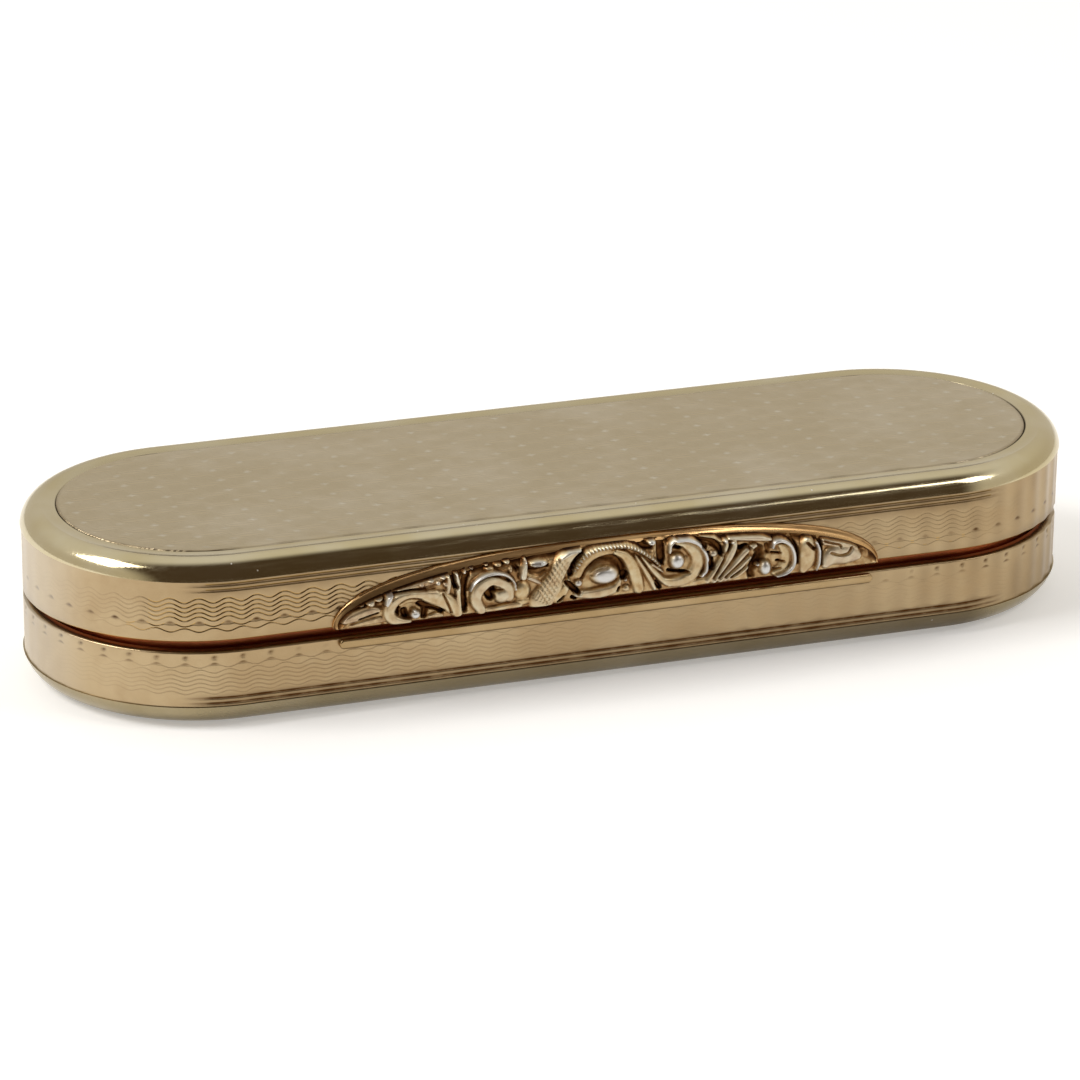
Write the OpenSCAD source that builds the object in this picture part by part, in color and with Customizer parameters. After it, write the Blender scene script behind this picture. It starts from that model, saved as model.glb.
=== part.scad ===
// Silver-gilt vinaigrette: a long box with round ends, a hinged lid with a cast scroll thumbpiece,
// and inside it a hinged pierced grille over a sponge for aromatic vinegar.
// Millimetres, +Z up, origin at the middle of the underside. The box is long in X,
// the thumbpiece faces -Y and the lid hinge is on the +Y side.

/* [Box] */
// Length over the round ends
box_length = 50; // [42:0.5:62]
// Width across the straight sides
box_width = 16; // [14:0.25:20]
// Height of the base, from the table to its upper edge
base_height = 3.7; // [3.4:0.1:5]
// Height of the lid, from its lower edge at the hinge to its top
lid_height = 4.1; // [3.4:0.1:5]
// Gap between lid and base at the hinge
seam_gap_back = 0.1; // [0.06:0.01:0.2]
// Gap between lid and base at the thumbpiece
seam_gap_front = 0.55; // [0.3:0.01:0.7]
// Thickness of the side walls
wall_thickness = 0.55; // [0.4:0.05:0.65]
// Thickness of the flat top and bottom plates
plate_thickness = 0.5; // [0.35:0.05:0.6]
// Solder gap round a plate that is set into its rim
plate_fit = 0.04; // [0.02:0.01:0.08]

/* [Rims] */
// Width of the rim mouldings, from the box's outside to the plate
rim_width = 1.65; // [1.45:0.05:2]
// How far the rims stand out past the walls
rim_step = 0.06; // [0.02:0.01:0.12]
// Height of the lid's rim
lid_rim_height = 0.85; // [0.75:0.05:1.1]
// Radius of the lid's polished edge, which can be more than its height
lid_edge_radius = 1; // [0.6:0.05:1.2]
// Height of the base's rim
base_rim_height = 1.1; // [0.95:0.05:1.3]
// Radius of the base's polished edge, which can be more than its height
base_edge_radius = 1.5; // [0.7:0.05:1.5]
// Width of the seat inside each rim that carries its plate
seat_width = 0.6; // [0.4:0.05:0.8]

/* [Border lines] */
// Width of the two engraved lines beside each rim
line_width = 0.14; // [0.08:0.02:0.2]
// Distance from the rim to the nearer line
line_margin = 0.17; // [0.12:0.01:0.3]
// Distance between the two lines
line_pitch = 0.27; // [0.22:0.01:0.4]

/* [Bezel] */
// Thickness of the bezel's upright wall
bezel_thickness = 0.4; // [0.3:0.05:0.5]
// How far the bezel stands up above the base's upper edge
bezel_rise = 1.1; // [0.9:0.05:1.4]
// Gap between the bezel and the walls round it
bezel_clearance = 0.15; // [0.1:0.01:0.25]
// Width of the ledge that carries the grille
ledge_width = 1; // [0.8:0.05:1.3]
// Thickness of that ledge
ledge_thickness = 0.4; // [0.3:0.05:0.5]

/* [Lid hinge] */
// Length of the hinge
hinge_length = 28; // [21:0.5:33]
// Number of knuckles, an odd number
hinge_knuckles = 7; // [5:2:9]
// Outer radius of the knuckles
hinge_radius = 0.8; // [0.65:0.05:0.85]
// How far the hinge axis lies outside the box's back
hinge_standoff = 0.15; // [0.1:0.01:0.3]
// Radius of the hinge pin
hinge_pin_radius = 0.32; // [0.25:0.01:0.4]
// Clearance round the other half's knuckles
hinge_clearance = 0.08; // [0.05:0.01:0.12]
// Gap between neighbouring knuckles
knuckle_gap = 0.06; // [0.04:0.01:0.12]
// Clearance of a pin in the knuckles that turn on it
pin_clearance = 0.04; // [0.02:0.01:0.06]
// Clearance of a pin in the knuckles that hold it
pin_hold = 0.01; // [0.01:0.005:0.015]
// Length of the plugs that hide the pin's ends
plug_length = 0.8; // [0.5:0.1:1.2]

/* [Grille] */
// Thickness of the pierced plate
grille_thickness = 0.4; // [0.3:0.05:0.5]
// How far the grille lies below the bezel's top
grille_sink = 0.05; // [0.02:0.01:0.1]
// Gap between the grille and the bezel round it
grille_clearance = 0.12; // [0.08:0.01:0.2]
// Outer radius of the grille's hinge knuckles
grille_hinge_radius = 0.42; // [0.36:0.01:0.44]
// Length of the knuckle on the grille
grille_knuckle_length = 5; // [3:0.5:7]
// Length of each of the two lugs beside it
grille_lug_length = 2.5; // [1.5:0.5:4]
// Radius of the grille's hinge pin
grille_pin_radius = 0.18; // [0.14:0.01:0.22]
// Width of the tab that lifts the grille
tab_width = 2.2; // [1.6:0.1:3]
// Thickness of the tab
tab_thickness = 0.4; // [0.3:0.05:0.5]
// Height of the tab
tab_height = 0.6; // [0.4:0.05:0.7]
// Radius of each of the grille's pierced scrolls
scroll_radius = 2.5; // [2.1:0.05:2.6]
// Distance between neighbouring pierced scrolls
scroll_pitch = 6.4; // [6:0.1:7]
// Width of the saw cuts that make the scrolls
scroll_cut = 0.62; // [0.4:0.02:0.7]

/* [Thumbpiece] */
// Length of the thumbpiece's plate
thumb_length = 26.2; // [22:0.2:30]
// Thickness of that plate
thumb_plate_thickness = 0.3; // [0.2:0.02:0.4]
// Gap between the plate's top and the lid's rim
thumb_rim_gap = 0.05; // [0.03:0.01:0.1]
// Least width of the bare plate round the scrollwork
thumb_border = 0.12; // [0.08:0.02:0.4]
// Thickness of the scrollwork between its scrolls
relief_ground = 0.12; // [0.08:0.01:0.2]
// Height of the scrolls above that ground
relief_height = 0.59; // [0.4:0.01:0.8]
// Height of the plain strip on the base under the thumbpiece
strip_height = 0.46; // [0.3:0.02:0.6]
// How far that strip stands out from the base
strip_projection = 0.25; // [0.15:0.01:0.35]
// How far each end of that strip stops short of the thumbpiece's end
strip_inset = 0.3; // [0:0.05:1]
// How far the strip's top lies below the base's upper edge
strip_drop = 0.02; // [0.01:0.01:0.1]

/* [Sponge] */
// Gap between the sponge and the base round it
sponge_side_gap = 0.25; // [0.2:0.05:0.4]
// Gap between the sponge and the ledge over it
sponge_top_gap = 0.15; // [0.1:0.05:0.3]

/* [Hidden] */
$fn = 96;

BASE_KNUCKLES = (hinge_knuckles + 1) / 2;
LID_KNUCKLES = (hinge_knuckles - 1) / 2;

// Plan of the box: half discs of radius box_r at the ends of a straight middle
box_r = box_width / 2;
straight = box_length - box_width;
wall_out = box_r - rim_step;
wall_in = wall_out - wall_thickness;
plate_r = box_r - rim_width - plate_fit;
seat_r = box_r - rim_width - seat_width;
bezel_out = wall_in - bezel_clearance;
bezel_in = bezel_out - bezel_thickness;
ledge_r = bezel_in - ledge_width;
grille_r = bezel_in - grille_clearance;

// Heights
lid_top = base_height + seam_gap_back + lid_height;
lid_rim_bottom = lid_top - lid_rim_height;
lid_front_edge = base_height + seam_gap_front;
bezel_top = base_height + bezel_rise;
grille_top = bezel_top - grille_sink;
ledge_top = grille_top - grille_thickness;
ledge_bottom = ledge_top - ledge_thickness;

// Hinge axes, both along X
hinge_y = box_r + hinge_standoff;
hinge_z = base_height + seam_gap_back / 2;
knuckle_pitch = hinge_length / hinge_knuckles;
knuckle_length = knuckle_pitch - knuckle_gap;
grille_hinge_y = grille_r - grille_hinge_radius;
grille_hinge_z = ledge_top + grille_thickness / 2;
grille_back = grille_hinge_y - grille_hinge_radius - hinge_clearance;
grille_lug_x = grille_knuckle_length / 2 + knuckle_gap + grille_lug_length / 2;
grille_hinge_length = 2 * grille_lug_x + grille_lug_length;

// Thumbpiece plate and the scrollwork on it
thumb_half = thumb_length / 2;
thumb_height = lid_rim_bottom - thumb_rim_gap - lid_front_edge;
relief_half = thumb_half - thumb_border;
relief_top = thumb_height - thumb_border;
relief_back = wall_out + thumb_plate_thickness;
strip_length = thumb_length - 2 * strip_inset;
strip_bottom = base_height - strip_drop - strip_height;

gilt = [0.80, 0.66, 0.42];
pale_gilt = [0.76, 0.68, 0.52];
red_gilt = [0.55, 0.33, 0.18];
sponge_buff = [0.80, 0.66, 0.40];

// Sweeps a profile round the box's plan: its x is the distance from the plan's middle line, its y is Z
module sweep_round() {
    for (turn = [0, 180]) rotate([0, 0, turn]) {
        translate([straight / 2, 0, 0]) rotate([0, 0, -90]) rotate_extrude(angle = 180) children();
        translate([-straight / 2, 0, 0]) rotate([90, 0, 90]) linear_extrude(straight) children();
    }
}

// A cylinder along X, centred at x
module bar_x(x, y, z, radius, length) {
    translate([x - length / 2, y, z]) rotate([0, 90, 0]) cylinder(r = radius, h = length);
}

// A length of hinge tube along X
module tube_x(x, y, z, radius, bore, length) {
    difference() {
        bar_x(x, y, z, radius, length);
        bar_x(x, y, z, bore, length * 2);
    }
}

// Rim moulding with its flat face at height 0, its plate seat inside, and a round edge
// that runs from the flat face to the rim's outer corner
module rim_profile(height, edge_radius) {
    short = max(0, edge_radius - height);
    reach = sqrt(edge_radius * edge_radius - short * short);
    difference() {
        translate([seat_r, 0]) square([box_r - seat_r, height]);
        translate([seat_r - seat_width, -plate_thickness]) square([2 * seat_width, 2 * plate_thickness]);
        translate([box_r - reach, 0]) difference() {
            square([2 * edge_radius, edge_radius]);
            translate([0, edge_radius]) circle(edge_radius);
        }
    }
}

// Side wall with two engraved lines beside the rim; up is 1 or -1, the way from the rim along the wall
module wall_profile(bottom, top, rim_z, up) {
    difference() {
        translate([wall_in, bottom]) square([wall_thickness, top - bottom]);
        for (i = [0:1])
            translate([wall_out, rim_z + up * (line_margin + i * line_pitch)]) circle(d = line_width);
    }
}

// Everything below the lid's lower edge, which slopes up from the hinge to the thumbpiece
module below_lid() {
    rise = seam_gap_front - seam_gap_back;
    slope = atan(rise / (hinge_y + box_r));
    translate([0, hinge_y, base_height + seam_gap_back]) rotate([-slope, 0, 0])
        translate([-box_length, -2 * box_width, -box_width]) cube([2 * box_length, 4 * box_width, box_width]);
}

function knuckle_x(i) = -hinge_length / 2 + (i + 0.5) * knuckle_pitch;

// The groove that a wall needs for the hinge: a seat at its own knuckles, and room for the others.
// Own knuckles are the even ones on the base and the odd ones on the lid.
module hinge_groove(own) {
    for (i = [0:hinge_knuckles - 1]) {
        seat = i % 2 == own;
        bar_x(
            knuckle_x(i), hinge_y, hinge_z,
            seat ? hinge_radius : hinge_radius + hinge_clearance,
            seat ? knuckle_length : knuckle_pitch + knuckle_gap
        );
    }
}

module lid_plate() {
    color(pale_gilt) sweep_round() translate([0, lid_top - plate_thickness])
        square([plate_r, plate_thickness]);
}

module lid_rim() {
    color(gilt) sweep_round() translate([0, lid_top]) mirror([0, 1])
        rim_profile(lid_rim_height, lid_edge_radius);
}

module lid_wall() {
    color(gilt) difference() {
        sweep_round() wall_profile(base_height, lid_rim_bottom, lid_rim_bottom, -1);
        below_lid();
        hinge_groove(1);
    }
}

module lid_knuckle(i) {
    color(gilt) tube_x(
        knuckle_x(2 * i - 1), hinge_y, hinge_z, hinge_radius, hinge_pin_radius + pin_clearance, knuckle_length
    );
}

// Fullness of the plate's arch and of the scrollwork's arch inside it: the bends at the crown and the ends
PLATE_ARCH = [2.9, 2.1];
RELIEF_ARCH = [2, 2];

// Height of an arch over the thumbpiece's lower edge, at x
function arch(x, half, height, bend) = height * pow(max(0, 1 - pow(abs(x) / half, bend[0])), 1 / bend[1]);

module thumbpiece_plate() {
    steps = 48;
    xs = [for (i = [0:steps]) -thumb_half * cos(180 * i / steps)];
    color(gilt) translate([0, -wall_out, lid_front_edge]) rotate([90, 0, 0])
        linear_extrude(thumb_plate_thickness)
            polygon([for (x = xs) [x, arch(x, thumb_half, thumb_height, PLATE_ARCH)]]);
}

// Volutes of the scrollwork: x, height above the lid's edge, outer radius, start angle and turns
VOLUTES = [
    [-9.5, 0.6, 0.85, 60, 1.1],
    [-5.7, 1.1, 1.2, 200, 1.6],
    [-0.4, 1.0, 1.5, 20, 1.5],
    [3.1, 1.6, 0.95, 300, -1.5],
    [7.7, 0.7, 1.0, 90, -1.1],
    [9.6, 0.6, 0.7, 90, -0.7],
    [11.1, 0.5, 0.65, 90, -0.8]
];

// Leaves of the scrollwork: root x and height, tip x and height, half width
LEAVES = [
    [-12.4, 0.15, -10.2, 0.6, 0.35],
    [-8.6, 0.2, -6.9, 1.5, 0.5],
    [-3.7, 0.2, -1.6, 2.3, 0.65],
    [2.9, 0.2, 0.7, 2.3, 0.55],
    [4.2, 0.2, 7.0, 2.1, 0.65]
];

// Share of the relief's height that a volute gives a point: a ridge along a spiral that winds inwards
function volute_share(x, z, v) =
    let (
        dx = x - v[0],
        dz = z - v[1],
        reach = norm([dx, dz]),
        hand = sign(v[4]),
        turns = abs(v[4]),
        bead = 0.32 * v[2],
        pitch = (v[2] - bead) / turns,
        bearing = (hand * (atan2(dz, dx) - v[3]) + 720) % 360 / 360,
        wind = round((v[2] - reach) / pitch - bearing),
        along = wind + bearing,
        off = abs(reach - (v[2] - pitch * along)),
        ridge = along < 0 || along > turns ? 0 : 1 - pow(off / (0.42 * pitch), 2),
        knob = 1 - pow(reach / bead, 2)
    )
    max(0, ridge, knob);

// Share of the relief's height that a leaf gives a point: a pointed blade with a rounded back
function leaf_share(x, z, l) =
    let (
        root = [l[0], l[1]],
        run = [l[2], l[3]] - root,
        size = norm(run),
        at = ([x, z] - root) * run / (size * size),
        off = abs(cross(run, [x, z] - root)) / size,
        half = l[4] * sqrt(max(0, 4 * at * (1 - at)))
    )
    at <= 0 || at >= 1 || off >= half ? 0 : 1 - pow(off / half, 2);

function relief_share(x, z) = max(concat(
    [for (v = VOLUTES) volute_share(x, z, v)],
    [for (l = LEAVES) 0.85 * leaf_share(x, z, l)]
));

// Cast scrollwork: a front sheet of points that stand out by the relief, closed by a flat back
module thumbpiece_scrolls() {
    columns = 150;
    rows = 16;
    reach = 0.97 * relief_half;
    xs = [for (i = [0:columns]) reach * (2 * i / columns - 1)];
    tops = [for (x = xs) arch(x, relief_half, relief_top, RELIEF_ARCH)];
    front = [
        for (i = [0:columns]) for (j = [0:rows])
            let (
                z = tops[i] * j / rows,
                proud = relief_ground + relief_height * sqrt(relief_share(xs[i], z))
            )
            [xs[i], -relief_back - proud, lid_front_edge + z]
    ];
    back_top = [for (i = [0:columns]) [xs[i], -relief_back, lid_front_edge + tops[i]]];
    back_low = [for (x = xs) [x, -relief_back, lid_front_edge]];
    function f(i, j) = i * (rows + 1) + j;
    function t(i) = len(front) + i;
    function b(i) = len(front) + len(back_top) + i;
    faces = concat(
        [for (i = [0:columns - 1]) for (j = [0:rows - 1]) [f(i, j), f(i, j + 1), f(i + 1, j + 1)]],
        [for (i = [0:columns - 1]) for (j = [0:rows - 1]) [f(i, j), f(i + 1, j + 1), f(i + 1, j)]],
        [for (i = [0:columns - 1]) [f(i, rows), t(i), t(i + 1)]],
        [for (i = [0:columns - 1]) [f(i, rows), t(i + 1), f(i + 1, rows)]],
        [for (i = [0:columns - 1]) [f(i, 0), f(i + 1, 0), b(i + 1)]],
        [for (i = [0:columns - 1]) [f(i, 0), b(i + 1), b(i)]],
        [for (i = [0:columns - 1]) [b(i), b(i + 1), t(i + 1), t(i)]],
        [concat([b(0), t(0)], [for (j = [rows:-1:0]) f(0, j)])],
        [concat([b(columns)], [for (j = [0:rows]) f(columns, j)], [t(columns)])]
    );
    color(pale_gilt) polyhedron(concat(front, back_top, back_low), faces);
}

module base_plate() {
    color(pale_gilt) sweep_round() square([plate_r, plate_thickness]);
}

module base_rim() {
    color(gilt) sweep_round() rim_profile(base_rim_height, base_edge_radius);
}

module base_wall() {
    color(gilt) difference() {
        sweep_round() wall_profile(base_rim_height, base_height, base_rim_height, 1);
        hinge_groove(0);
    }
}

// Upright liner that the lid closes over, with a ledge inside it for the grille
module base_bezel() {
    color(red_gilt) difference() {
        sweep_round() {
            translate([bezel_in, base_rim_height]) square([bezel_thickness, bezel_top - base_rim_height]);
            translate([ledge_r, ledge_bottom])
                square([ledge_width + bezel_thickness / 2, ledge_thickness]);
        }
        hinge_groove(-1);
        bar_x(
            0, grille_hinge_y, grille_hinge_z,
            grille_hinge_radius + hinge_clearance, grille_knuckle_length + 2 * knuckle_gap
        );
        for (side = [-1, 1])
            bar_x(
                side * grille_lug_x, grille_hinge_y, grille_hinge_z, grille_hinge_radius, grille_lug_length
            );
    }
}

module base_strip() {
    color(gilt) translate([-strip_length / 2, -wall_out - strip_projection, strip_bottom])
        cube([strip_length, strip_projection, strip_height]);
}

module base_knuckle(i) {
    color(gilt) tube_x(
        knuckle_x(2 * i - 2), hinge_y, hinge_z, hinge_radius, hinge_pin_radius + pin_hold, knuckle_length
    );
}

module hinge_pin() {
    length = hinge_length - knuckle_gap - 2 * plug_length;
    color("silver") bar_x(0, hinge_y, hinge_z, hinge_pin_radius, length);
}

// Plug in the mouth of an end knuckle; side is -1 at the left and 1 at the right
module hinge_plug(side) {
    x = side * (hinge_length - knuckle_gap - plug_length) / 2;
    color(gilt) bar_x(x, hinge_y, hinge_z, hinge_pin_radius, plug_length);
}

module grille_lug(side) {
    color(gilt) tube_x(
        side * grille_lug_x, grille_hinge_y, grille_hinge_z,
        grille_hinge_radius, grille_pin_radius + pin_hold, grille_lug_length
    );
}

module grille_pin() {
    color("silver") bar_x(0, grille_hinge_y, grille_hinge_z, grille_pin_radius, grille_hinge_length);
}

module sponge() {
    color(sponge_buff) sweep_round() translate([0, plate_thickness])
        square([seat_r - sponge_side_gap, ledge_bottom - sponge_top_gap - plate_thickness]);
}

// A saw cut along an arc of that radius, from one angle to another under half a turn away
module arc_cut(radius, from, to) {
    far = 4 * radius;
    middle = (from + to) / 2;
    difference() {
        intersection() {
            circle(radius + scroll_cut / 2);
            polygon(concat([[0, 0]], [for (a = [from, middle, to]) far * [cos(a), sin(a)]]));
        }
        circle(radius - scroll_cut / 2);
    }
    for (a = [from, to]) translate(radius * [cos(a), sin(a)]) circle(d = scroll_cut);
}

// A leaf-shaped hole, pointed at both ends, along +X from the origin
module leaf_cut(length, width) {
    sag = width / 2;
    radius = (length * length / 4 + sag * sag) / (2 * sag);
    translate([length / 2, 0]) intersection_for (s = [-1, 1])
        translate([0, s * (radius - sag)]) circle(radius);
}

// One pierced scroll: two outer arcs, two inner ones, an eye, and a leaf where the scroll opens
module scroll_cuts() {
    arc_cut(scroll_radius, 25, 140);
    arc_cut(scroll_radius, 172, 285);
    arc_cut(scroll_radius / 2, 80, 195);
    arc_cut(scroll_radius / 2, 245, 350);
    circle(d = scroll_cut);
    rotate(320) translate([scroll_radius - scroll_cut, 0]) leaf_cut(2 * scroll_cut, scroll_cut);
}

// Three leaves that fan out towards +Y, with a round hole under them
module spray_cuts() {
    for (a = [45, 90, 135]) rotate(a) translate([scroll_cut, 0])
        leaf_cut(0.75 * scroll_radius, 1.3 * scroll_cut);
    translate([0, -1.5 * scroll_cut]) circle(d = scroll_cut);
}

// All the piercings of the grille, mirrored about its middle: a rosette, scrolls that turn up and down
// by turns, sprays above and below the gaps between them, and a leaf at each end
module grille_cuts() {
    first = 0.9 * scroll_pitch;
    room = straight / 2 + grille_r - first - 2 * scroll_radius;
    scrolls = floor(room / scroll_pitch) + 1;
    last = first + (scrolls - 1) * scroll_pitch;
    for (side = [0, 1]) mirror([side, 0]) {
        for (i = [0:scrolls - 1]) {
            x = first + i * scroll_pitch;
            translate([x, 0]) mirror([0, i % 2]) scroll_cuts();
            for (s = [0, 1]) mirror([0, s])
                translate([x - scroll_pitch / 2, 0.9 * scroll_radius]) spray_cuts();
        }
        translate([last + scroll_radius + scroll_cut, 0]) leaf_cut(2 * scroll_cut, scroll_cut);
    }
    for (a = [0:60:300]) rotate(a) translate([scroll_cut, 0]) leaf_cut(0.7 * scroll_radius, 1.3 * scroll_cut);
}

module grille_plate() {
    color(gilt) difference() {
        sweep_round() translate([0, ledge_top]) square([grille_r, grille_thickness]);
        for (side = [-1, 1])
            translate([side * (box_length + grille_knuckle_length) / 2 - box_length / 2, grille_back, 0])
                cube([box_length, box_width, box_width]);
        translate([-grille_knuckle_length, grille_hinge_y, 0])
            cube([2 * grille_knuckle_length, box_width, box_width]);
        bar_x(0, grille_hinge_y, grille_hinge_z, grille_hinge_radius, grille_knuckle_length);
        translate([0, (grille_back - grille_r) / 2, 0]) linear_extrude(box_width) grille_cuts();
    }
}

module grille_knuckle() {
    color(gilt) tube_x(
        0, grille_hinge_y, grille_hinge_z,
        grille_hinge_radius, grille_pin_radius + pin_clearance, grille_knuckle_length
    );
}

// Upright half-round tab at the grille's front edge
module grille_tab() {
    color(gilt) translate([0, tab_thickness - grille_r, grille_top]) rotate([90, 0, 0])
        linear_extrude(tab_thickness)
        intersection() {
            translate([-tab_width / 2, 0]) square([tab_width, tab_height]);
            translate([0, tab_height - tab_width]) circle(tab_width);
        }
}

lid_plate();
lid_rim();
lid_wall();
thumbpiece_plate();
thumbpiece_scrolls();
for (i = [1:LID_KNUCKLES]) lid_knuckle(i);
base_plate();
base_rim();
base_wall();
base_bezel();
base_strip();
for (i = [1:BASE_KNUCKLES]) base_knuckle(i);
hinge_pin();
hinge_plug(-1);  // hinge_plug_left
hinge_plug(1);  // hinge_plug_right
grille_lug(-1);  // grille_lug_left
grille_lug(1);  // grille_lug_right
grille_pin();
sponge();
grille_plate();
grille_knuckle();
grille_tab();
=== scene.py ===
import math
from functools import partial

import bpy
import numpy as np
from mathutils import Matrix, Vector


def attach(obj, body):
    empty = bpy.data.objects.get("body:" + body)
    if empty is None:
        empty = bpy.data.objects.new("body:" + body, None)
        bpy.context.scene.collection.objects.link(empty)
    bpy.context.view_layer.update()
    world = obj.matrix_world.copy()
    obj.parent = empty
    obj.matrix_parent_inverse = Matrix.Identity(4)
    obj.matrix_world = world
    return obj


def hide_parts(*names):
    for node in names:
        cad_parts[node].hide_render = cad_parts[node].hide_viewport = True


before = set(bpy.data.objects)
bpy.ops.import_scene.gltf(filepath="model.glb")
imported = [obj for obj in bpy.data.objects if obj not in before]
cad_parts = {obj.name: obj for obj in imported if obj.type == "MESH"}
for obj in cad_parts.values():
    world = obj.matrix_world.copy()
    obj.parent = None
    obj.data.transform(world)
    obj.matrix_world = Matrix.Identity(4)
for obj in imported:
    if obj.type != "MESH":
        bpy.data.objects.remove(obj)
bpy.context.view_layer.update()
mm = 0.001
print("frame loaded,", len(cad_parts), "nodes")


# Sizes shared by several pieces, in mm, the same as in the part's source
box = {
    "straight": 34.0,       # length of the straight sides
    "rimRadius": 8.0, "wallOut": 7.94, "wallIn": 7.39, "plateRadius": 6.31, "seatRadius": 5.75,
    "jointRadius": 6.35,    # inner edge of the rim round the plate
    "plateThickness": 0.5, "lidTop": 7.9, "lidRimBottom": 7.05, "baseRimTop": 1.1, "baseTop": 3.7,
    "seamBack": 0.1, "seamFront": 0.55, "hingeY": 8.15, "hingeZ": 3.75,
}
hinge = {"length": 28.0, "count": 7, "radius": 0.8, "gap": 0.06, "clearance": 0.08, "sides": 64}


def clearSelection():
    if bpy.context.mode != "OBJECT":
        bpy.ops.object.mode_set(mode="OBJECT")
    bpy.ops.object.select_all(action="DESELECT")


def makeActive(obj):
    clearSelection()
    obj.select_set(True)
    bpy.context.view_layer.objects.active = obj


def editAll(obj):
    makeActive(obj)
    bpy.ops.object.mode_set(mode="EDIT")
    bpy.ops.mesh.select_all(action="SELECT")


def getPoints(obj):
    flat = np.empty(len(obj.data.vertices) * 3)
    obj.data.vertices.foreach_get("co", flat)
    return flat.reshape(-1, 3)


def setPoints(obj, points):
    obj.data.vertices.foreach_set("co", np.asarray(points, float).ravel())
    obj.data.update()


# One float for each point, which the materials read: how dark the tarnish and painted shade are, or how far a cast
# stands proud
def setAttribute(obj, name, values):
    attribute = obj.data.attributes.new(name, "FLOAT", "POINT")
    attribute.data.foreach_set("value", np.asarray(values, np.float32).ravel())


# A flat grid to shape, and its points, which run from -1 to 1
def addGrid(columns, rows):
    clearSelection()
    bpy.ops.mesh.primitive_grid_add(x_subdivisions=columns, y_subdivisions=rows, size=2)
    obj = bpy.context.active_object
    return obj, getPoints(obj)


# A closed outline through points in mm, left in edit mode to be spun or drawn out
def addOutline(points):
    clearSelection()
    bpy.ops.mesh.primitive_circle_add(vertices=len(points), radius=1.0)
    obj = bpy.context.active_object
    setPoints(obj, np.array(points) * mm)
    editAll(obj)
    return obj


# Merges what meets, turns the faces outwards and leaves edit mode
def closeUp(obj, threshold=0.002):
    editAll(obj)
    bpy.ops.mesh.remove_doubles(threshold=threshold * mm)
    bpy.ops.mesh.normals_make_consistent(inside=False)
    bpy.ops.object.mode_set(mode="OBJECT")
    return obj


# Closes an open sheet: its border is carried to a flat back and filled there
def closeBack(obj, keep, place):
    editAll(obj)
    bpy.ops.mesh.select_mode(type="EDGE")
    bpy.ops.mesh.select_all(action="DESELECT")
    bpy.ops.mesh.select_non_manifold(extend=False)
    bpy.ops.mesh.extrude_region_move(TRANSFORM_OT_translate={"value": (0, 0, 0)})
    bpy.ops.transform.resize(value=keep, center_override=place)
    bpy.ops.mesh.edge_face_add()
    bpy.ops.mesh.select_all(action="SELECT")
    bpy.ops.mesh.normals_make_consistent(inside=False)
    bpy.ops.object.mode_set(mode="OBJECT")
    return obj


def applyModifier(obj, kind, **settings):
    makeActive(obj)
    modifier = obj.modifiers.new(kind.lower(), kind)
    for key, value in settings.items():
        setattr(modifier, key, value)
    bpy.ops.object.modifier_apply(modifier=modifier.name)


# Gives a finished piece its name, body and material, with smooth faces between sharp edges
def finishPiece(obj, name, body, material, replaced, angle=32):
    obj.name = name
    obj.data.name = name
    obj.data.materials.clear()
    obj.data.materials.append(material)
    makeActive(obj)
    bpy.ops.object.shade_smooth_by_angle(angle=math.radians(angle))
    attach(obj, body)
    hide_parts(*replaced)
    return obj


# From 0 below low to 1 above high, with an easy start and end
def smoothStep(value, low, high):
    t = np.clip((value - low) / (high - low), 0, 1)
    return t * t * (3 - 2 * t)


# Camera, fitted to the box's outline in the photo
camera = {
    "azimuth": -19.6518, "elevation": 21.4542, "roll": 0.5552,
    "distance": 232.37, "target": (-0.525, 0.0, 3.915),
    "focal": 5000.0, "image": 1080.0, "sensor": 36.0,   # focal length and image in pixels
}


def addCamera(c):
    az, el, roll = (math.radians(c[k]) for k in ("azimuth", "elevation", "roll"))
    back = Vector((math.sin(az) * math.cos(el), -math.cos(az) * math.cos(el), math.sin(el)))
    turn = back.to_track_quat("Z", "Y").to_matrix() @ Matrix.Rotation(roll, 3, "Z")
    place = (Vector(c["target"]) + back * c["distance"]) * mm
    data = bpy.data.cameras.new("camera")
    data.sensor_width = c["sensor"]
    data.lens = c["focal"] / c["image"] * c["sensor"]
    data.clip_start = 0.01
    data.clip_end = 100
    obj = bpy.data.objects.new("camera", data)
    bpy.context.scene.collection.objects.link(obj)
    obj.matrix_world = Matrix.Translation(place) @ turn.to_4x4()
    bpy.context.scene.camera = obj


addCamera(camera)
print("camera placed")


# Materials

def linear(hexColour):
    parts = [int(hexColour[i:i + 2], 16) / 255 for i in (1, 3, 5)]
    return [p / 12.92 if p <= 0.04045 else ((p + 0.055) / 1.055) ** 2.4 for p in parts] + [1.0]


# Sets a node's inputs: a hex colour is made linear, a socket is linked, and a node is linked by its Fac
# or else by its first output
def setInputs(node, inputs):
    for key, value in inputs.items():
        if isinstance(value, str):
            value = linear(value)
        if isinstance(value, bpy.types.Node):
            outputs = value.outputs
            value = outputs["Fac"] if "Fac" in outputs else next(o for o in outputs if o.enabled)
        if isinstance(value, bpy.types.NodeSocket):
            node.id_data.links.new(value, node.inputs[key])
        else:
            node.inputs[key].default_value = value


def addNode(tree, kind, inputs=None, **settings):
    node = tree.nodes.new("ShaderNode" + kind)
    if kind == "Mix":
        node.data_type = "RGBA"
    for key, value in settings.items():
        setattr(node, key, value)
    setInputs(node, inputs or {})
    return node


# A material, what adds a node to it, its shader and the place on the object in metres
def startMaterial(name):
    material = bpy.data.materials.new(name)
    material.use_nodes = True
    add = partial(addNode, material.node_tree)
    return material, add, material.node_tree.nodes["Principled BSDF"], add("TexCoord").outputs["Object"]


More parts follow.
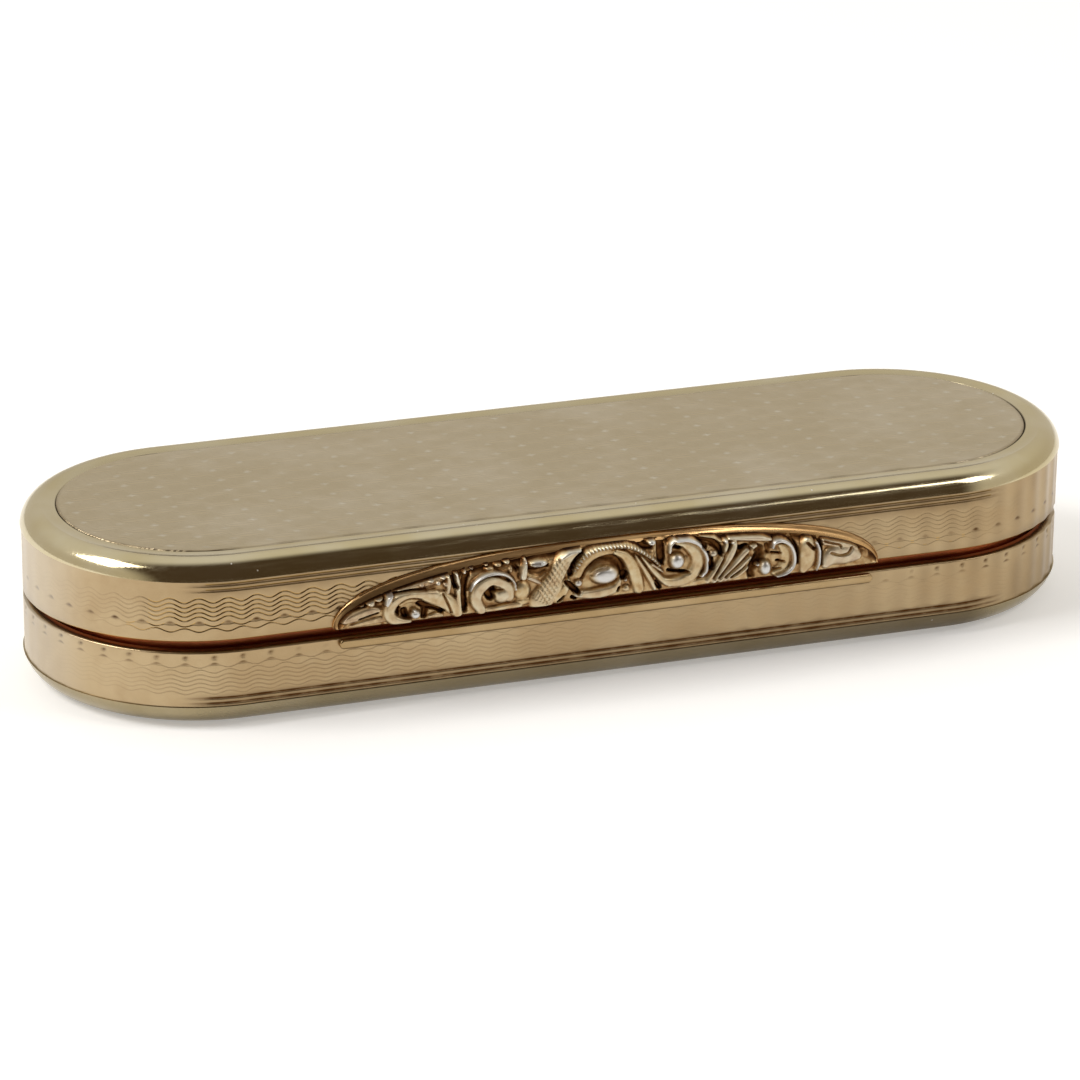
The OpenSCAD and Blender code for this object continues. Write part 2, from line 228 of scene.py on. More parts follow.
def setRamp(node, stops):
    ramp = node.color_ramp
    while len(ramp.elements) > 1:
        ramp.elements.remove(ramp.elements[-1])
    ramp.elements[0].position, ramp.elements[0].color = stops[0][0], linear(stops[0][1])
    for place, colour in stops[1:]:
        ramp.elements.new(place).color = linear(colour)


# Silver-gilt cut on an engine lathe: a satin land between cuts that hold tarnish. The points' own values
# say how dark the tarnish and the painted shade are, and where a painted highlight makes the gilt pale.
# The gilding is thinner, so paler, in patches of about 5 mm, and the grain is 0.06 mm.
def engineTurnedGilt(name, land, pale, tarnish, roughness, tarnishShare):
    material, add, shader, coords = startMaterial(name)
    patches = add("TexNoise", {"Vector": coords, "Scale": 1 / (5 * mm), "Detail": 3.0})
    spread = add("MapRange", {"Value": patches, "From Min": 0.38, "From Max": 0.66})
    worn = add("TexNoise", {"Vector": coords, "Scale": 1 / (0.8 * mm), "Detail": 4.0})
    mottle = add("MapRange", {"Value": worn, "From Min": 0.3, "From Max": 0.7, "To Min": -0.35, "To Max": 0.35})
    thin = add("Math", {0: spread, 1: mottle}, operation="ADD", use_clamp=True)
    body = add("Mix", {"Factor": thin, "A": land, "B": pale})
    cut = add("Attribute", attribute_name="cut")
    uneven = add("MapRange", {"Value": worn, "From Min": 0.3, "From Max": 0.7, "To Min": 0.5, "To Max": 1.0})
    dark = add("Math", {0: cut, 1: uneven}, operation="MULTIPLY")
    share = add("Math", {0: dark, 1: tarnishShare}, operation="MULTIPLY")
    colour = add("Mix", {"Factor": share, "A": body, "B": tarnish})
    # painted highlight: pale grey mixed in where the points' values say
    paintedHighlight = add("Attribute", attribute_name="paintedHighlight")
    lit = add("Mix", {"Factor": paintedHighlight, "A": colour, "B": "#DAD6CC"})
    rough = add("MapRange", {"Value": worn, "To Min": roughness - 0.05, "To Max": roughness + 0.07})
    grain = add("TexNoise", {"Vector": coords, "Scale": 1 / (0.06 * mm), "Detail": 1.0})
    bump = add("Bump", {"Height": grain, "Strength": 0.5, "Distance": 0.008 * mm})
    setInputs(shader, {"Base Color": lit, "Roughness": rough, "Normal": bump, "Metallic": 1.0})
    return material, add, shader, coords, bump


# Plates have a barleycorn ground as well: fine lines 0.16 mm apart that swell and pinch along X,
# each band of them the other way round from its neighbours
def barleycornGilt(name, land, pale, tarnish, roughness, period, band):
    material, add, shader, coords, bump = engineTurnedGilt(name, land, pale, tarnish, roughness, 0.8)
    place = add("SeparateXYZ", {"Vector": coords}).outputs

    def wave(value, length, factor):
        angle = add("Math", {0: value, 1: 2 * math.pi / (length * mm)}, operation="MULTIPLY")
        swing = add("Math", {0: angle}, operation="COSINE")
        return add("Math", {0: swing, 1: factor}, operation="MULTIPLY")

    bend = 0.13 * mm
    swell = add("Math", {0: wave(place["X"], period, 1.0), 1: wave(place["Y"], 2 * band, bend)}, operation="MULTIPLY")
    bent = add("Math", {0: place["Y"], 1: swell}, operation="SUBTRACT")
    lines = wave(bent, band / 4, 0.5)
    fine = add("Bump", {"Height": lines, "Normal": bump, "Strength": 0.9, "Distance": 0.016 * mm})
    setInputs(shader, {"Normal": fine})
    return material


# Polished silver-gilt, worn by handling: nearly a mirror, with patches of thinner gilding, hairline
# scratches along the box, small pale pits about 0.1 mm wide, and tarnish and painted shade where the points' values
# say
def polishedGilt(name, body, pale, roughness, pitShare):
    material, add, shader, coords = startMaterial(name)
    patches = add("TexNoise", {"Vector": coords, "Scale": 1 / (4 * mm), "Detail": 4.0})
    spread = add("MapRange", {"Value": patches, "From Min": 0.4, "From Max": 0.65})
    gilt = add("Mix", {"Factor": spread, "A": body, "B": pale})
    pits = add("TexVoronoi", {"Vector": coords, "Scale": 1 / (0.55 * mm)})
    pitted = add("MapRange", {"Value": pits, "From Min": 0.1, "From Max": 0.04})
    chosen = add("SeparateColor", {"Color": pits.outputs["Color"]})
    few = add("Math", {0: chosen, 1: pitShare}, operation="LESS_THAN")
    fleck = add("Math", {0: pitted, 1: few}, operation="MULTIPLY")
    flecked = add("Mix", {"Factor": fleck, "A": gilt, "B": "#F2EEE4"})
    cut = add("Attribute", attribute_name="cut")
    colour = add("Mix", {"Factor": cut, "A": flecked, "B": "#33200F"})
    stretch = add("Mapping", {"Vector": coords, "Scale": (0.06, 1.0, 1.0)})
    scratches = add("TexNoise", {"Vector": stretch, "Scale": 1 / (0.09 * mm), "Detail": 2.0})
    rough = add("MapRange", {
        "Value": scratches, "From Min": 0.35, "From Max": 0.75, "To Min": roughness, "To Max": roughness + 0.1})
    marred = add("Math", {0: fleck, 1: cut}, operation="MAXIMUM")
    rougher = add("Math", {0: marred, 1: 0.35, 2: rough}, operation="MULTIPLY_ADD")
    bump = add("Bump", {"Height": scratches, "Strength": 0.12, "Distance": 0.004 * mm})
    setInputs(shader, {"Base Color": colour, "Roughness": rougher, "Normal": bump, "Metallic": 1.0})
    return material


# Red-brown tarnish on whatever lies further than the radius from the box's middle line: the bezel's outer
# face, which shows in the seam
def tarnishOutside(material, radius, colour):
    add = partial(addNode, material.node_tree)
    shader = material.node_tree.nodes["Principled BSDF"]
    place = add("SeparateXYZ", {"Vector": add("TexCoord").outputs["Object"]}).outputs
    side = add("Math", {0: place["X"]}, operation="ABSOLUTE")
    past = add("Math", {0: side, 1: box["straight"] / 2 * mm}, operation="SUBTRACT")
    beyond = add("Math", {0: past, 1: 0.0}, operation="MAXIMUM")
    away = add("CombineXYZ", {"X": beyond, "Y": place["Y"]})
    reach = add("VectorMath", {0: away}, operation="LENGTH")
    outside = add("Math", {0: reach, 1: radius * mm}, operation="GREATER_THAN")
    gilt = shader.inputs["Base Color"].links[0].from_socket
    colours = add("Mix", {"Factor": outside, "A": gilt, "B": colour})
    setInputs(shader, {"Base Color": colours})


# Cast and chased silver-gilt: dark tarnish and painted shade in the hollows, painted highlights on the
# ridges, tan gilding on the slopes, and bare silver where thumbs have worn the high points
def castGilt(name):
    material, add, shader, coords = startMaterial(name)
    patinaAndShading = add("Attribute", attribute_name="patinaAndShading")
    bare = add("Attribute", attribute_name="bare")
    wear = add("TexNoise", {"Vector": coords, "Scale": 1 / (0.35 * mm), "Detail": 4.0})
    shift = add("MapRange", {"Value": wear, "From Min": 0.3, "From Max": 0.7, "To Min": -0.11, "To Max": 0.11})
    shade = add("Math", {0: patinaAndShading, 1: shift}, operation="ADD")
    ramp = add("ValToRGB", {"Fac": shade})
    setRamp(ramp, [(0.0, "#361C0D"), (0.16, "#62401F"), (0.32, "#98744C"), (0.48, "#C2A87E"),
                   (0.66, "#D3C5A3"), (0.85, "#DFD9C8"), (1.0, "#EAE7DF")])
    silver = add("Mix", {"Factor": bare, "A": ramp, "B": "#D4D4D4"})
    rough = add("MapRange", {"Value": bare, "To Min": 0.44, "To Max": 0.43})
    grain = add("TexNoise", {"Vector": coords, "Scale": 1 / (0.1 * mm), "Detail": 2.0})
    bump = add("Bump", {"Height": grain, "Strength": 0.3, "Distance": 0.008 * mm})
    setInputs(shader, {"Base Color": silver, "Roughness": rough, "Normal": bump, "Metallic": 1.0})
    return material


# Natural sponge: a matt, fibrous tan body, with painted shade down in its pores
def naturalSponge(name):
    material, add, shader, coords = startMaterial(name)
    pore = add("Attribute", attribute_name="pore")
    fibre = add("TexNoise", {"Vector": coords, "Scale": 1 / (0.2 * mm), "Detail": 4.0})
    # painted shade, darker the deeper the pore
    mixed = add("Math", {0: pore, 1: -0.7, 2: fibre}, operation="MULTIPLY_ADD")
    ramp = add("ValToRGB", {"Fac": mixed})
    setRamp(ramp, [(0.0, "#6B4820"), (0.35, "#B08746"), (0.75, "#D8B676")])
    bump = add("Bump", {"Height": fibre, "Strength": 0.6, "Distance": 0.06 * mm})
    setInputs(shader, {"Base Color": ramp, "Normal": bump, "Roughness": 0.92, "Sheen Weight": 0.25})
    return material


plateGilt = barleycornGilt("plateSilverGilt", "#B9AA8D", "#C2B59D", "#6A5534", 0.36, 2.91, 0.65)
wallGilt = engineTurnedGilt("wallSilverGilt", "#AC9470", "#BAA480", "#4A2E14", 0.3, 0.85)[0]
rimGilt = polishedGilt("rimSilverGilt", "#C2B48E", "#CABFA2", 0.1, 0.14)
# the base rim gets a darker gilt than the lid's rim: painted shade
shadedBaseRimGilt = polishedGilt("shadedBaseRimSilverGilt", "#A09272", "#AC9F82", 0.18, 0.05)
thumbGilt = polishedGilt("thumbSilverGilt", "#D0A570", "#D9B27E", 0.2, 0.02)
# the strip's gilt is darker than the other polished gilt: painted shade on its face
shadedStripGilt = polishedGilt("shadedStripSilverGilt", "#A68C64", "#B29A74", 0.26, 0.02)
scrollGilt = castGilt("castSilverGilt")
bezelGilt = polishedGilt("bezelSilverGilt", "#D0A65C", "#DAB674", 0.28, 0.0)
tarnishOutside(bezelGilt, 7.2, "#C27048")
insideGilt = polishedGilt("insideSilverGilt", "#D0A65C", "#DAB674", 0.28, 0.0)
hingeGilt = polishedGilt("hingeSilverGilt", "#C2A468", "#CDB684", 0.2, 0.03)
grilleGilt = polishedGilt("grilleSilverGilt", "#D8AC5A", "#DDB870", 0.18, 0.0)
pinSilver = polishedGilt("drawnSilverWire", "#B4B0A8", "#C4C0B8", 0.25, 0.0)
spongeFibre = naturalSponge("naturalSponge")
print("materials made")


# The lid's inside is bright gilt: faces under the plate that look inwards or down get it
def gildInside(obj):
    faces = obj.data.polygons
    normal, centre = np.empty(len(faces) * 3), np.empty(len(faces) * 3)
    faces.foreach_get("normal", normal)
    faces.foreach_get("center", centre)
    normal, centre = normal.reshape(-1, 3), centre.reshape(-1, 3)
    half = box["straight"] / 2 * mm
    outX, outY = centre[:, 0] - np.clip(centre[:, 0], -half, half), centre[:, 1]
    outward = (normal[:, 0] * outX + normal[:, 1] * outY) / np.maximum(np.hypot(outX, outY), 1e-9)
    within = centre[:, 2] < (box["lidTop"] - box["plateThickness"] + 0.01) * mm
    inner = within & ((outward < -0.5) | (normal[:, 2] < -0.5))
    obj.data.materials.append(insideGilt)
    faces.foreach_set("material_index", inner.astype(np.int32))
    obj.data.update()


# The box's plan: the middle line's x and the outward normal at evenly spaced places round the wall,
# from the middle of the front, and the distance run along the wall
def planCurve(count):
    half, radius = box["straight"] / 2, box["wallOut"]
    arc = math.pi * radius
    total = 4 * half + 2 * arc
    run = np.arange(count) / count * total
    stops = [0, half, half + arc, 3 * half + arc, 3 * half + 2 * arc, total]
    angle = np.interp(run, stops, [0, 0, math.pi, math.pi, 2 * math.pi, 2 * math.pi])
    middle = np.interp(run, stops, [0, half, half, -half, -half, 0])
    return middle, np.sin(angle), -np.cos(angle), run, total


# A closed ring swept round the plan: a sheet whose edges are brought together and merged.
# Each row gives the distance out, the height, and how dark the tarnish and painted shade are at every place.
def sweepRing(rows, count, paintedHighlight):
    obj, grid = addGrid(count, len(rows))
    column = np.rint((grid[:, 0] + 1) / 2 * count).astype(int) % count
    row = np.rint((grid[:, 1] + 1) / 2 * len(rows)).astype(int) % len(rows)
    middle, nx, ny = planCurve(count)[:3]
    out, height, cut = (np.array([r[k] for r in rows])[row, column] for k in range(3))
    setPoints(obj, np.stack([middle[column] + nx[column] * out, ny[column] * out, height], 1) * mm)
    setAttribute(obj, "cut", cut)
    setAttribute(obj, "paintedHighlight", paintedHighlight[column])
    return closeUp(obj, 0.0005)


# Engine-turned walls: wave lines in step, then two that mirror each other so that they link into ovals,
# and two straight lines beside the rim on the straight sides. Heights are those of the lines' middles.
turning = {
    "columns": 1472, "waves": 92, "crestX": -15.28,
    "amplitude": (0.11, 0.075), "linkAmplitude": 0.085, "lineWidth": 0.08, "depth": (0.03, 0.019),
    "crestPower": 1.7, "tickPower": 6,      # how soon the ovals' tops and the ticks fade along the wave
    "tuck": 0.03, "lip": (0.05, 0.035),     # behind the rim; the softened lip's height and depth
    "lidWaves": [6.17, 5.95, 5.74, 5.53, 5.32], "baseWaves": [1.8, 2.0, 2.2, 2.4, 2.6],
    # linked lines: height, 1 in step or -1 mirrored, and how much they broaden at the ovals' tops
    "lidLinks": [(5.04, 1, 2.4), (4.78, -1, 0.0)], "baseLinks": [(2.82, 1, 0.0), (3.08, -1, 1.5)],
    "baseTicks": 3.46, "tickWidth": 0.26, "tickDepth": 0.07,
    "borderMargin": 0.17, "borderPitch": 0.25, "borderWidth": 0.16, "borderDepth": 0.06,
    "pleat": 0.014,         # depth of the soft pleats that the waves leave round the ends
    "wornLeft": 1.0, "wornRight": 0.62, "wornEnds": 0.16,
    # tarnish on the lid and on the base: in the waves, beside the rim, in the straight lines; beside the rim and in
    # the straight lines it is kept to the straight sides as painted shade
    "dark": (0.7, 0.44), "rimDark": (0.35, 0.75), "borderDark": (1.0, 1.8), "crestDark": 0.75, "tickDark": 1.4,
    "paintedShade": 0.28,           # painted shade that grows towards the right
    # spans of x over which these change: wear, the cuts round each end, their darkness, the painted shade, the painted
    # shading of the pleats in it
    "wearSpan": (-13, 2), "leftEnd": (19.5, 24.9), "rightEnd": (17.5, 23.5), "faintSpan": (8, 14),
    "paintedShadeSpan": (-14, 8), "pleatShadeSpan": (9, 16),
    # and distances from the middle: straight lines, ovals' marks, ticks, the outermost ends painted paler as a
    # reflection
    "borderSpan": (18.2, 20.2), "markSpan": (15, 18.5), "tickSpan": (13, 17), "tipSpan": (23.2, 25),
}


def lidEdge(y):
    slope = (box["seamFront"] - box["seamBack"]) / (box["hingeY"] + box["rimRadius"])
    return box["baseTop"] + box["seamBack"] + (box["hingeY"] - y) * slope


# Where the lathe's cuts are still crisp: along the sides, least at the right, and a little way round the ends
def crispness(t, x):
    along = t["wornLeft"] + (t["wornRight"] - t["wornLeft"]) * smoothStep(x, *t["wearSpan"])
    ends = np.where(x < 0, smoothStep(-x, *t["leftEnd"]), smoothStep(x, *t["rightEnd"]))
    return along + (t["wornEnds"] - along) * ends, ends


def turnedWall(t, rimZ, up, waves, links, edge, ticks=None):
    count = t["columns"]
    middle, nx, _, run, total = planCurve(count)
    x = middle + nx * box["wallOut"]
    away = np.abs(x)
    crisp, ends = crispness(t, x)
    swing = np.cos((run - t["crestX"]) / total * t["waves"] * 2 * math.pi)
    out, inside = box["wallOut"] + t["pleat"] * ends * np.where(x > 0, 1.6, 0.4) * (swing - 1), box["wallIn"]
    straight = 1 - smoothStep(away, *t["borderSpan"])
    # painted shade that grows towards the right, with painted shading of the pleats as streaks in it
    paintedShade = t["paintedShade"] * smoothStep(x, *t["paintedShadeSpan"]) * (1 + 0.4 * swing * smoothStep(x, *t["pleatShadeSpan"]))
    amplitude, depth, dark, rimDark, borderDark = (
        t[key][0 if up < 0 else 1] for key in ("amplitude", "depth", "dark", "rimDark", "borderDark"))
    mark = np.maximum(crisp, 0.95 * smoothStep(away, *t["markSpan"]))
    faint = crisp * (1 - 0.4 * smoothStep(x, *t["faintSpan"]))
    flat = np.zeros(count)
    rows = []

    def addRow(radius, height, cut):
        rows.append((radius + flat, height + flat, np.maximum(cut, paintedShade)))

    # a V cut between two guard rows, which keep the land beside it flat
    def addLine(height, width, deep, cut, floor=0.0):
        for side, share in ((-0.64, 0.0), (-0.5, 0.0), (0.0, 1.0), (0.5, 0.0), (0.64, 0.0)):
            addRow(out - deep * share, height + up * side * width, floor + (cut - floor) * share)

    addRow(inside, rimZ - up * t["tuck"], 0.0)
    addRow(out, rimZ - up * t["tuck"], 0.7)
    # beside the rim and along the straight lines: tarnish, kept to the straight sides by painted shade, which also
    # darkens the land between the lines towards the right
    addRow(out, rimZ + up * 0.04, rimDark * straight)
    for i in range(2):
        addLine(rimZ + up * (t["borderMargin"] + i * t["borderPitch"]), t["borderWidth"],
                t["borderDepth"] * straight, borderDark * straight,
                (0.45 + 0.2 * smoothStep(x, -5, 8)) * straight)
    for z in waves:
        addLine(z + amplitude * swing, t["lineWidth"], depth * crisp, dark * faint)
    for z, sign, broad in links:
        crest = np.clip(sign * swing, 0, 1) ** t["crestPower"] * min(broad, 1.0)
        addLine(z + sign * t["linkAmplitude"] * swing, t["lineWidth"] * (0.8 + broad * crest),
                depth * (crisp + crest * mark), np.maximum(0.8 * dark * faint, (t["crestDark"] + dark) * crest * mark))
    if ticks is not None:
        spot = np.clip(-swing, 0, 1) ** t["tickPower"] * np.maximum(smoothStep(away, *t["tickSpan"]), 0.2)
        addLine(ticks, t["tickWidth"], t["tickDepth"] * spot, t["tickDark"] * spot)
    addRow(out, edge - up * t["lip"][0], 0.0)
    addRow(out - t["lip"][1], edge, 0.5)
    addRow(inside + t["tuck"], edge, 0.4)
    addRow(inside, edge - up * t["tuck"], 0.4)
    # a painted pale reflection on the left end and on the outermost ends
    return sweepRing(rows, count, 0.06 * ends * (x < 0) + 0.3 * smoothStep(away, *t["tipSpan"]))


# Room in the wall for the hinge: seats for its own knuckles, and a little more round the others
def cutHinge(obj, own):
    pitch = hinge["length"] / hinge["count"]
    for seats in (True, False):
        cutters = []
        for i in range(hinge["count"]):
            if (i % 2 == own) != seats:
                continue
            radius = hinge["radius"] + (0 if seats else hinge["clearance"])
            length = pitch - hinge["gap"] if seats else pitch + hinge["gap"]
            clearSelection()
            bpy.ops.mesh.primitive_cylinder_add(
                vertices=hinge["sides"], radius=radius * mm, depth=length * mm, rotation=(0, math.pi / 2, 0),
                location=((-hinge["length"] / 2 + (i + 0.5) * pitch) * mm, box["hingeY"] * mm, box["hingeZ"] * mm))
            cutters.append(bpy.context.active_object)
        makeActive(cutters[0])
        for cutter in cutters:
            cutter.select_set(True)
        bpy.ops.object.join()
        bpy.ops.object.transform_apply(location=True, rotation=True, scale=True)
        cutter = bpy.context.active_object
        applyModifier(obj, "BOOLEAN", object=cutter, operation="DIFFERENCE", solver="MANIFOLD")
        bpy.data.objects.remove(cutter)


wallY = planCurve(turning["columns"])[2] * box["wallOut"]
lidWall = turnedWall(turning, box["lidRimBottom"], -1, turning["lidWaves"], turning["lidLinks"], lidEdge(wallY))
cutHinge(lidWall, 1)
finishPiece(lidWall, "lidWall", "lid", wallGilt, ["lid_wall"], angle=75)
gildInside(lidWall)
baseWall = turnedWall(turning, box["baseRimTop"], 1, turning["baseWaves"], turning["baseLinks"],
                      box["baseTop"], ticks=turning["baseTicks"])
cutHinge(baseWall, 0)
finishPiece(baseWall, "baseWall", "base", wallGilt, ["base_wall"], angle=75)
print("walls turned:", len(lidWall.data.polygons), len(baseWall.data.polygons), "faces")


# Rims: a profile spun round each end and drawn along the sides, as the moulding was
rims = {
    "lidHeight": 0.85, "lidEdge": 1.0, "baseHeight": 1.1, "baseEdge": 1.5,
    "arcSteps": 28, "endSteps": 96, "nip": 0.03, "step": 0.02,
    # tarnish in the joint: how far from the middle it deepens and where it fades to the back; painted shade on the
    # back and on the sides
    "endSpan": (15, 20), "rightSpan": (0, 5), "backSpan": (0, 5), "backShadeSpan": (2, 6),
    "sideShadeSpan": (6.8, 7.5), "sideEnds": (17.5, 20),
}


def sweptProfile(profile):
    half = box["straight"] / 2
    obj = addOutline([(half, -r, z) for r, z in profile])
    for side in (1, -1):
        bpy.ops.mesh.spin(steps=rims["endSteps"], angle=-math.pi, center=(side * half * mm, 0, 0), axis=(0, 0, 1))
        bpy.ops.mesh.extrude_region_move(TRANSFORM_OT_translate={"value": (-2 * side * half * mm, 0, 0)})
    return closeUp(obj)


# The rim's section from its flat face at height 0, upwards: the plate's seat, a flat margin, and a round
# edge that runs to the rim's outer corner
def rimSection(height, edge):
    out, joint, seat = box["rimRadius"], box["jointRadius"], box["seatRadius"]
    thick, nip, low = box["plateThickness"], rims["nip"], rims["step"]
    short = edge - height
    start = out - math.sqrt(edge ** 2 - short ** 2)
    points = [(seat, thick), (joint, thick), (joint, low + nip), (joint + nip, low), (joint + 2 * nip, low),
              (start - 3 * low, low), (start - low, 0)]
    for i in range(rims["arcSteps"] + 1):
        a = math.acos(short / edge) * i / rims["arcSteps"]
        points.append((start + edge * math.sin(a), edge - edge * math.cos(a)))
    return points + [(out - nip, height), (seat, height)]


# Tarnish in the joint round the plate, and painted shade along the back and on the outer edge of the sides, growing
# towards the right there
def tarnishRim(obj, backShade, sideShade):
    x, y = getPoints(obj).T[:2] / mm
    half = box["straight"] / 2
    fromMiddle = np.hypot(np.maximum(np.abs(x) - half, 0), y)
    ends = smoothStep(np.abs(x), *rims["endSpan"]) * (1 - 0.6 * smoothStep(x, *rims["rightSpan"]))
    back = 1 - 0.95 * smoothStep(y, *rims["backSpan"])
    side = smoothStep(fromMiddle, *rims["sideShadeSpan"]) * (1 - smoothStep(np.abs(x), *rims["sideEnds"]))
    # painted shade: darker along the back, and on the sides' outer edge growing towards the right
    paintedShade = np.maximum(backShade * smoothStep(y, *rims["backShadeSpan"]),
                      sideShade * side * (0.3 + 0.7 * smoothStep(x, -half, half)))
    joint = np.clip((box["jointRadius"] + 2 * rims["nip"] - fromMiddle) / rims["nip"], 0, 1)
    setAttribute(obj, "cut", np.maximum(paintedShade, (0.5 + 0.4 * ends) * back * joint))


lidRim = sweptProfile([(r, box["lidTop"] - z) for r, z in rimSection(rims["lidHeight"], rims["lidEdge"])])
tarnishRim(lidRim, 0.12, 0.0)
finishPiece(lidRim, "lidRim", "lid", rimGilt, ["lid_rim"])
gildInside(lidRim)
baseRim = sweptProfile(rimSection(rims["baseHeight"], rims["baseEdge"]))
tarnishRim(baseRim, 0.0, 0.55)
finishPiece(baseRim, "baseRim", "base", shadedBaseRimGilt, ["base_rim"])
print("rims swept")


# Engine-turned plates: a barleycorn ground with a small facet wherever its lines pinch, painted with a
# pale highlight, in columns that are staggered by turns
plates = {
    "columns": 900, "rows": 100, "dotX": 1.455, "dotY": 1.3, "firstX": -16.75, "firstY": 0.1,
    "dotHalfX": 0.26, "dotHalfY": 0.17, "dotDepth": 0.02, "edge": 0.05, "margin": 0.3,
    "backFit": 0.035, "backShare": (-0.2, 0.5),     # how much closer to the rim it sits at the back
    "stain": 0.16, "endSpan": (15, 20), "backSpan": (0, 5),     # brown line in the joint: width, where it shows
}


# A grid drawn to the box's plan: its x and y, and how far each point lies from the edge
def planGrid(grid, radius):
    half = box["straight"] / 2
    y = grid[:, 1] * radius
    x = grid[:, 0] * (half + np.sqrt(np.maximum(radius ** 2 - y ** 2, 0)))
    return x, y, radius - np.hypot(np.maximum(np.abs(x) - half, 0), y)


def turnedPlate(p, faceZ, outward):
    obj, grid = addGrid(p["columns"], p["rows"])
    x, y, inset = planGrid(grid, box["plateRadius"] + p["backFit"] * smoothStep(grid[:, 1], *p["backShare"]))
    column = np.rint((x - p["firstX"]) / p["dotX"])
    dx = x - p["firstX"] - column * p["dotX"]
    high = (y - p["firstY"]) / p["dotY"] - 0.5 * (column % 2)
    dy = (high - np.rint(high)) * p["dotY"]
    # how strong each facet's painted highlight is, no two alike
    worn = 0.45 + 0.55 * np.sin(column * 7.3 + np.rint(high) * 3.1) ** 2      # no two facets alike
    dot = np.clip(1 - np.abs(dx) / p["dotHalfX"] - np.abs(dy) / p["dotHalfY"], 0, 1) * (inset > p["margin"])
    edge = np.clip(1 - inset / p["edge"], 0, 1)
    ends, back = smoothStep(np.abs(x), *p["endSpan"]), smoothStep(y, *p["backSpan"])
    drop = p["dotDepth"] * dot + p["edge"] * (1 - 0.8 * back) * edge
    stain = 0.8 * ends * np.clip(1 - inset / p["stain"], 0, 1)
    setPoints(obj, np.stack([x, y, faceZ - outward * drop], 1) * mm)
    setAttribute(obj, "cut", np.maximum((0.5 + 0.5 * ends) * edge, stain) * (1 - 0.95 * back))
    setAttribute(obj, "paintedHighlight", 0.65 * np.sqrt(dot) * worn)
    return closeBack(obj, (1, 1, 0), (0, 0, (faceZ - outward * box["plateThickness"]) * mm))


lidPlate = turnedPlate(plates, box["lidTop"], 1)
finishPiece(lidPlate, "lidPlate", "lid", plateGilt, ["lid_plate"])
gildInside(lidPlate)
basePlate = turnedPlate(plates, 0.0, -1)
finishPiece(basePlate, "basePlate", "base", plateGilt, ["base_plate"])
print("plates turned:", len(lidPlate.data.polygons), "faces")


# Thumbpiece: an arched plate with a moulded, sloping border, and the cast scrollwork inside its inner arch
thumb = {
    "half": 13.1, "height": 2.75, "bend": (2.9, 2.1),
    "innerHalf": 12.98, "innerHeight": 2.63, "innerBend": (1.8, 1.667), "scrollBend": (2, 2),
    "columns": 240, "back": 7.94, "sunk": 0.04, "front": 8.24, "edgeZ": 4.25,
    # the border's section, from the wall inwards: share of the way across, and how far it stands out
    "border": [(0.0, 0.01), (0.03, 0.07), (0.1, 0.115), (0.2, 0.12), (0.27, 0.1), (0.31, 0.105), (0.4, 0.15),
               (0.6, 0.21), (0.8, 0.26), (1.0, 0.3)],
    "leftPaintedShade": 0.5, "rightTarnish": 0.4,     # painted shade on the left's slope, and tarnish on the right's outer edge
}


def arch(x, half, height, bend):
    return height * np.maximum(0, 1 - (np.abs(x) / half) ** bend[0]) ** (1 / bend[1])


def thumbPlate(t):
    rows = len(t["border"])
    obj, grid = addGrid(t["columns"], rows)
    spread = np.sin(grid[:, 0] * math.pi / 2)       # more columns towards the ends, where the arch is steep
    outerX, innerX = spread * t["half"], spread * t["innerHalf"]
    outerH = arch(outerX, t["half"], t["height"], t["bend"])
    innerH = arch(innerX, t["innerHalf"], t["innerHeight"], t["innerBend"])
    row = np.rint((grid[:, 1] + 1) / 2 * rows).astype(int)
    share = np.array([b[0] for b in t["border"]] + [1.0])[row]
    proud = np.array([b[1] for b in t["border"]] + [t["front"] - t["back"]])[row]
    x = outerX + (innerX - outerX) * share
    h = np.where(row == rows, 0.0, outerH + (innerH - outerH) * share)
    setPoints(obj, np.stack([x, -t["back"] - proud, t["edgeZ"] + h], 1) * mm)
    slope = smoothStep(share, 0.12, 0.3) * (1 - 0.5 * smoothStep(share, 0.6, 1.0))
    # painted shade on the left's slope, and tarnish on the right's outer edge
    setAttribute(obj, "cut", t["leftPaintedShade"] * (1 - smoothStep(x, -4, 6)) * slope
                 + t["rightTarnish"] * smoothStep(x, 5, 9) * (1 - smoothStep(share, 0.25, 0.5)))
    return closeBack(obj, (1, 0, 1), (0, (t["sunk"] - t["back"]) * mm, 0))


finishPiece(thumbPlate(thumb), "thumbPlate", "lid", thumbGilt, ["thumbpiece_plate"], angle=45)

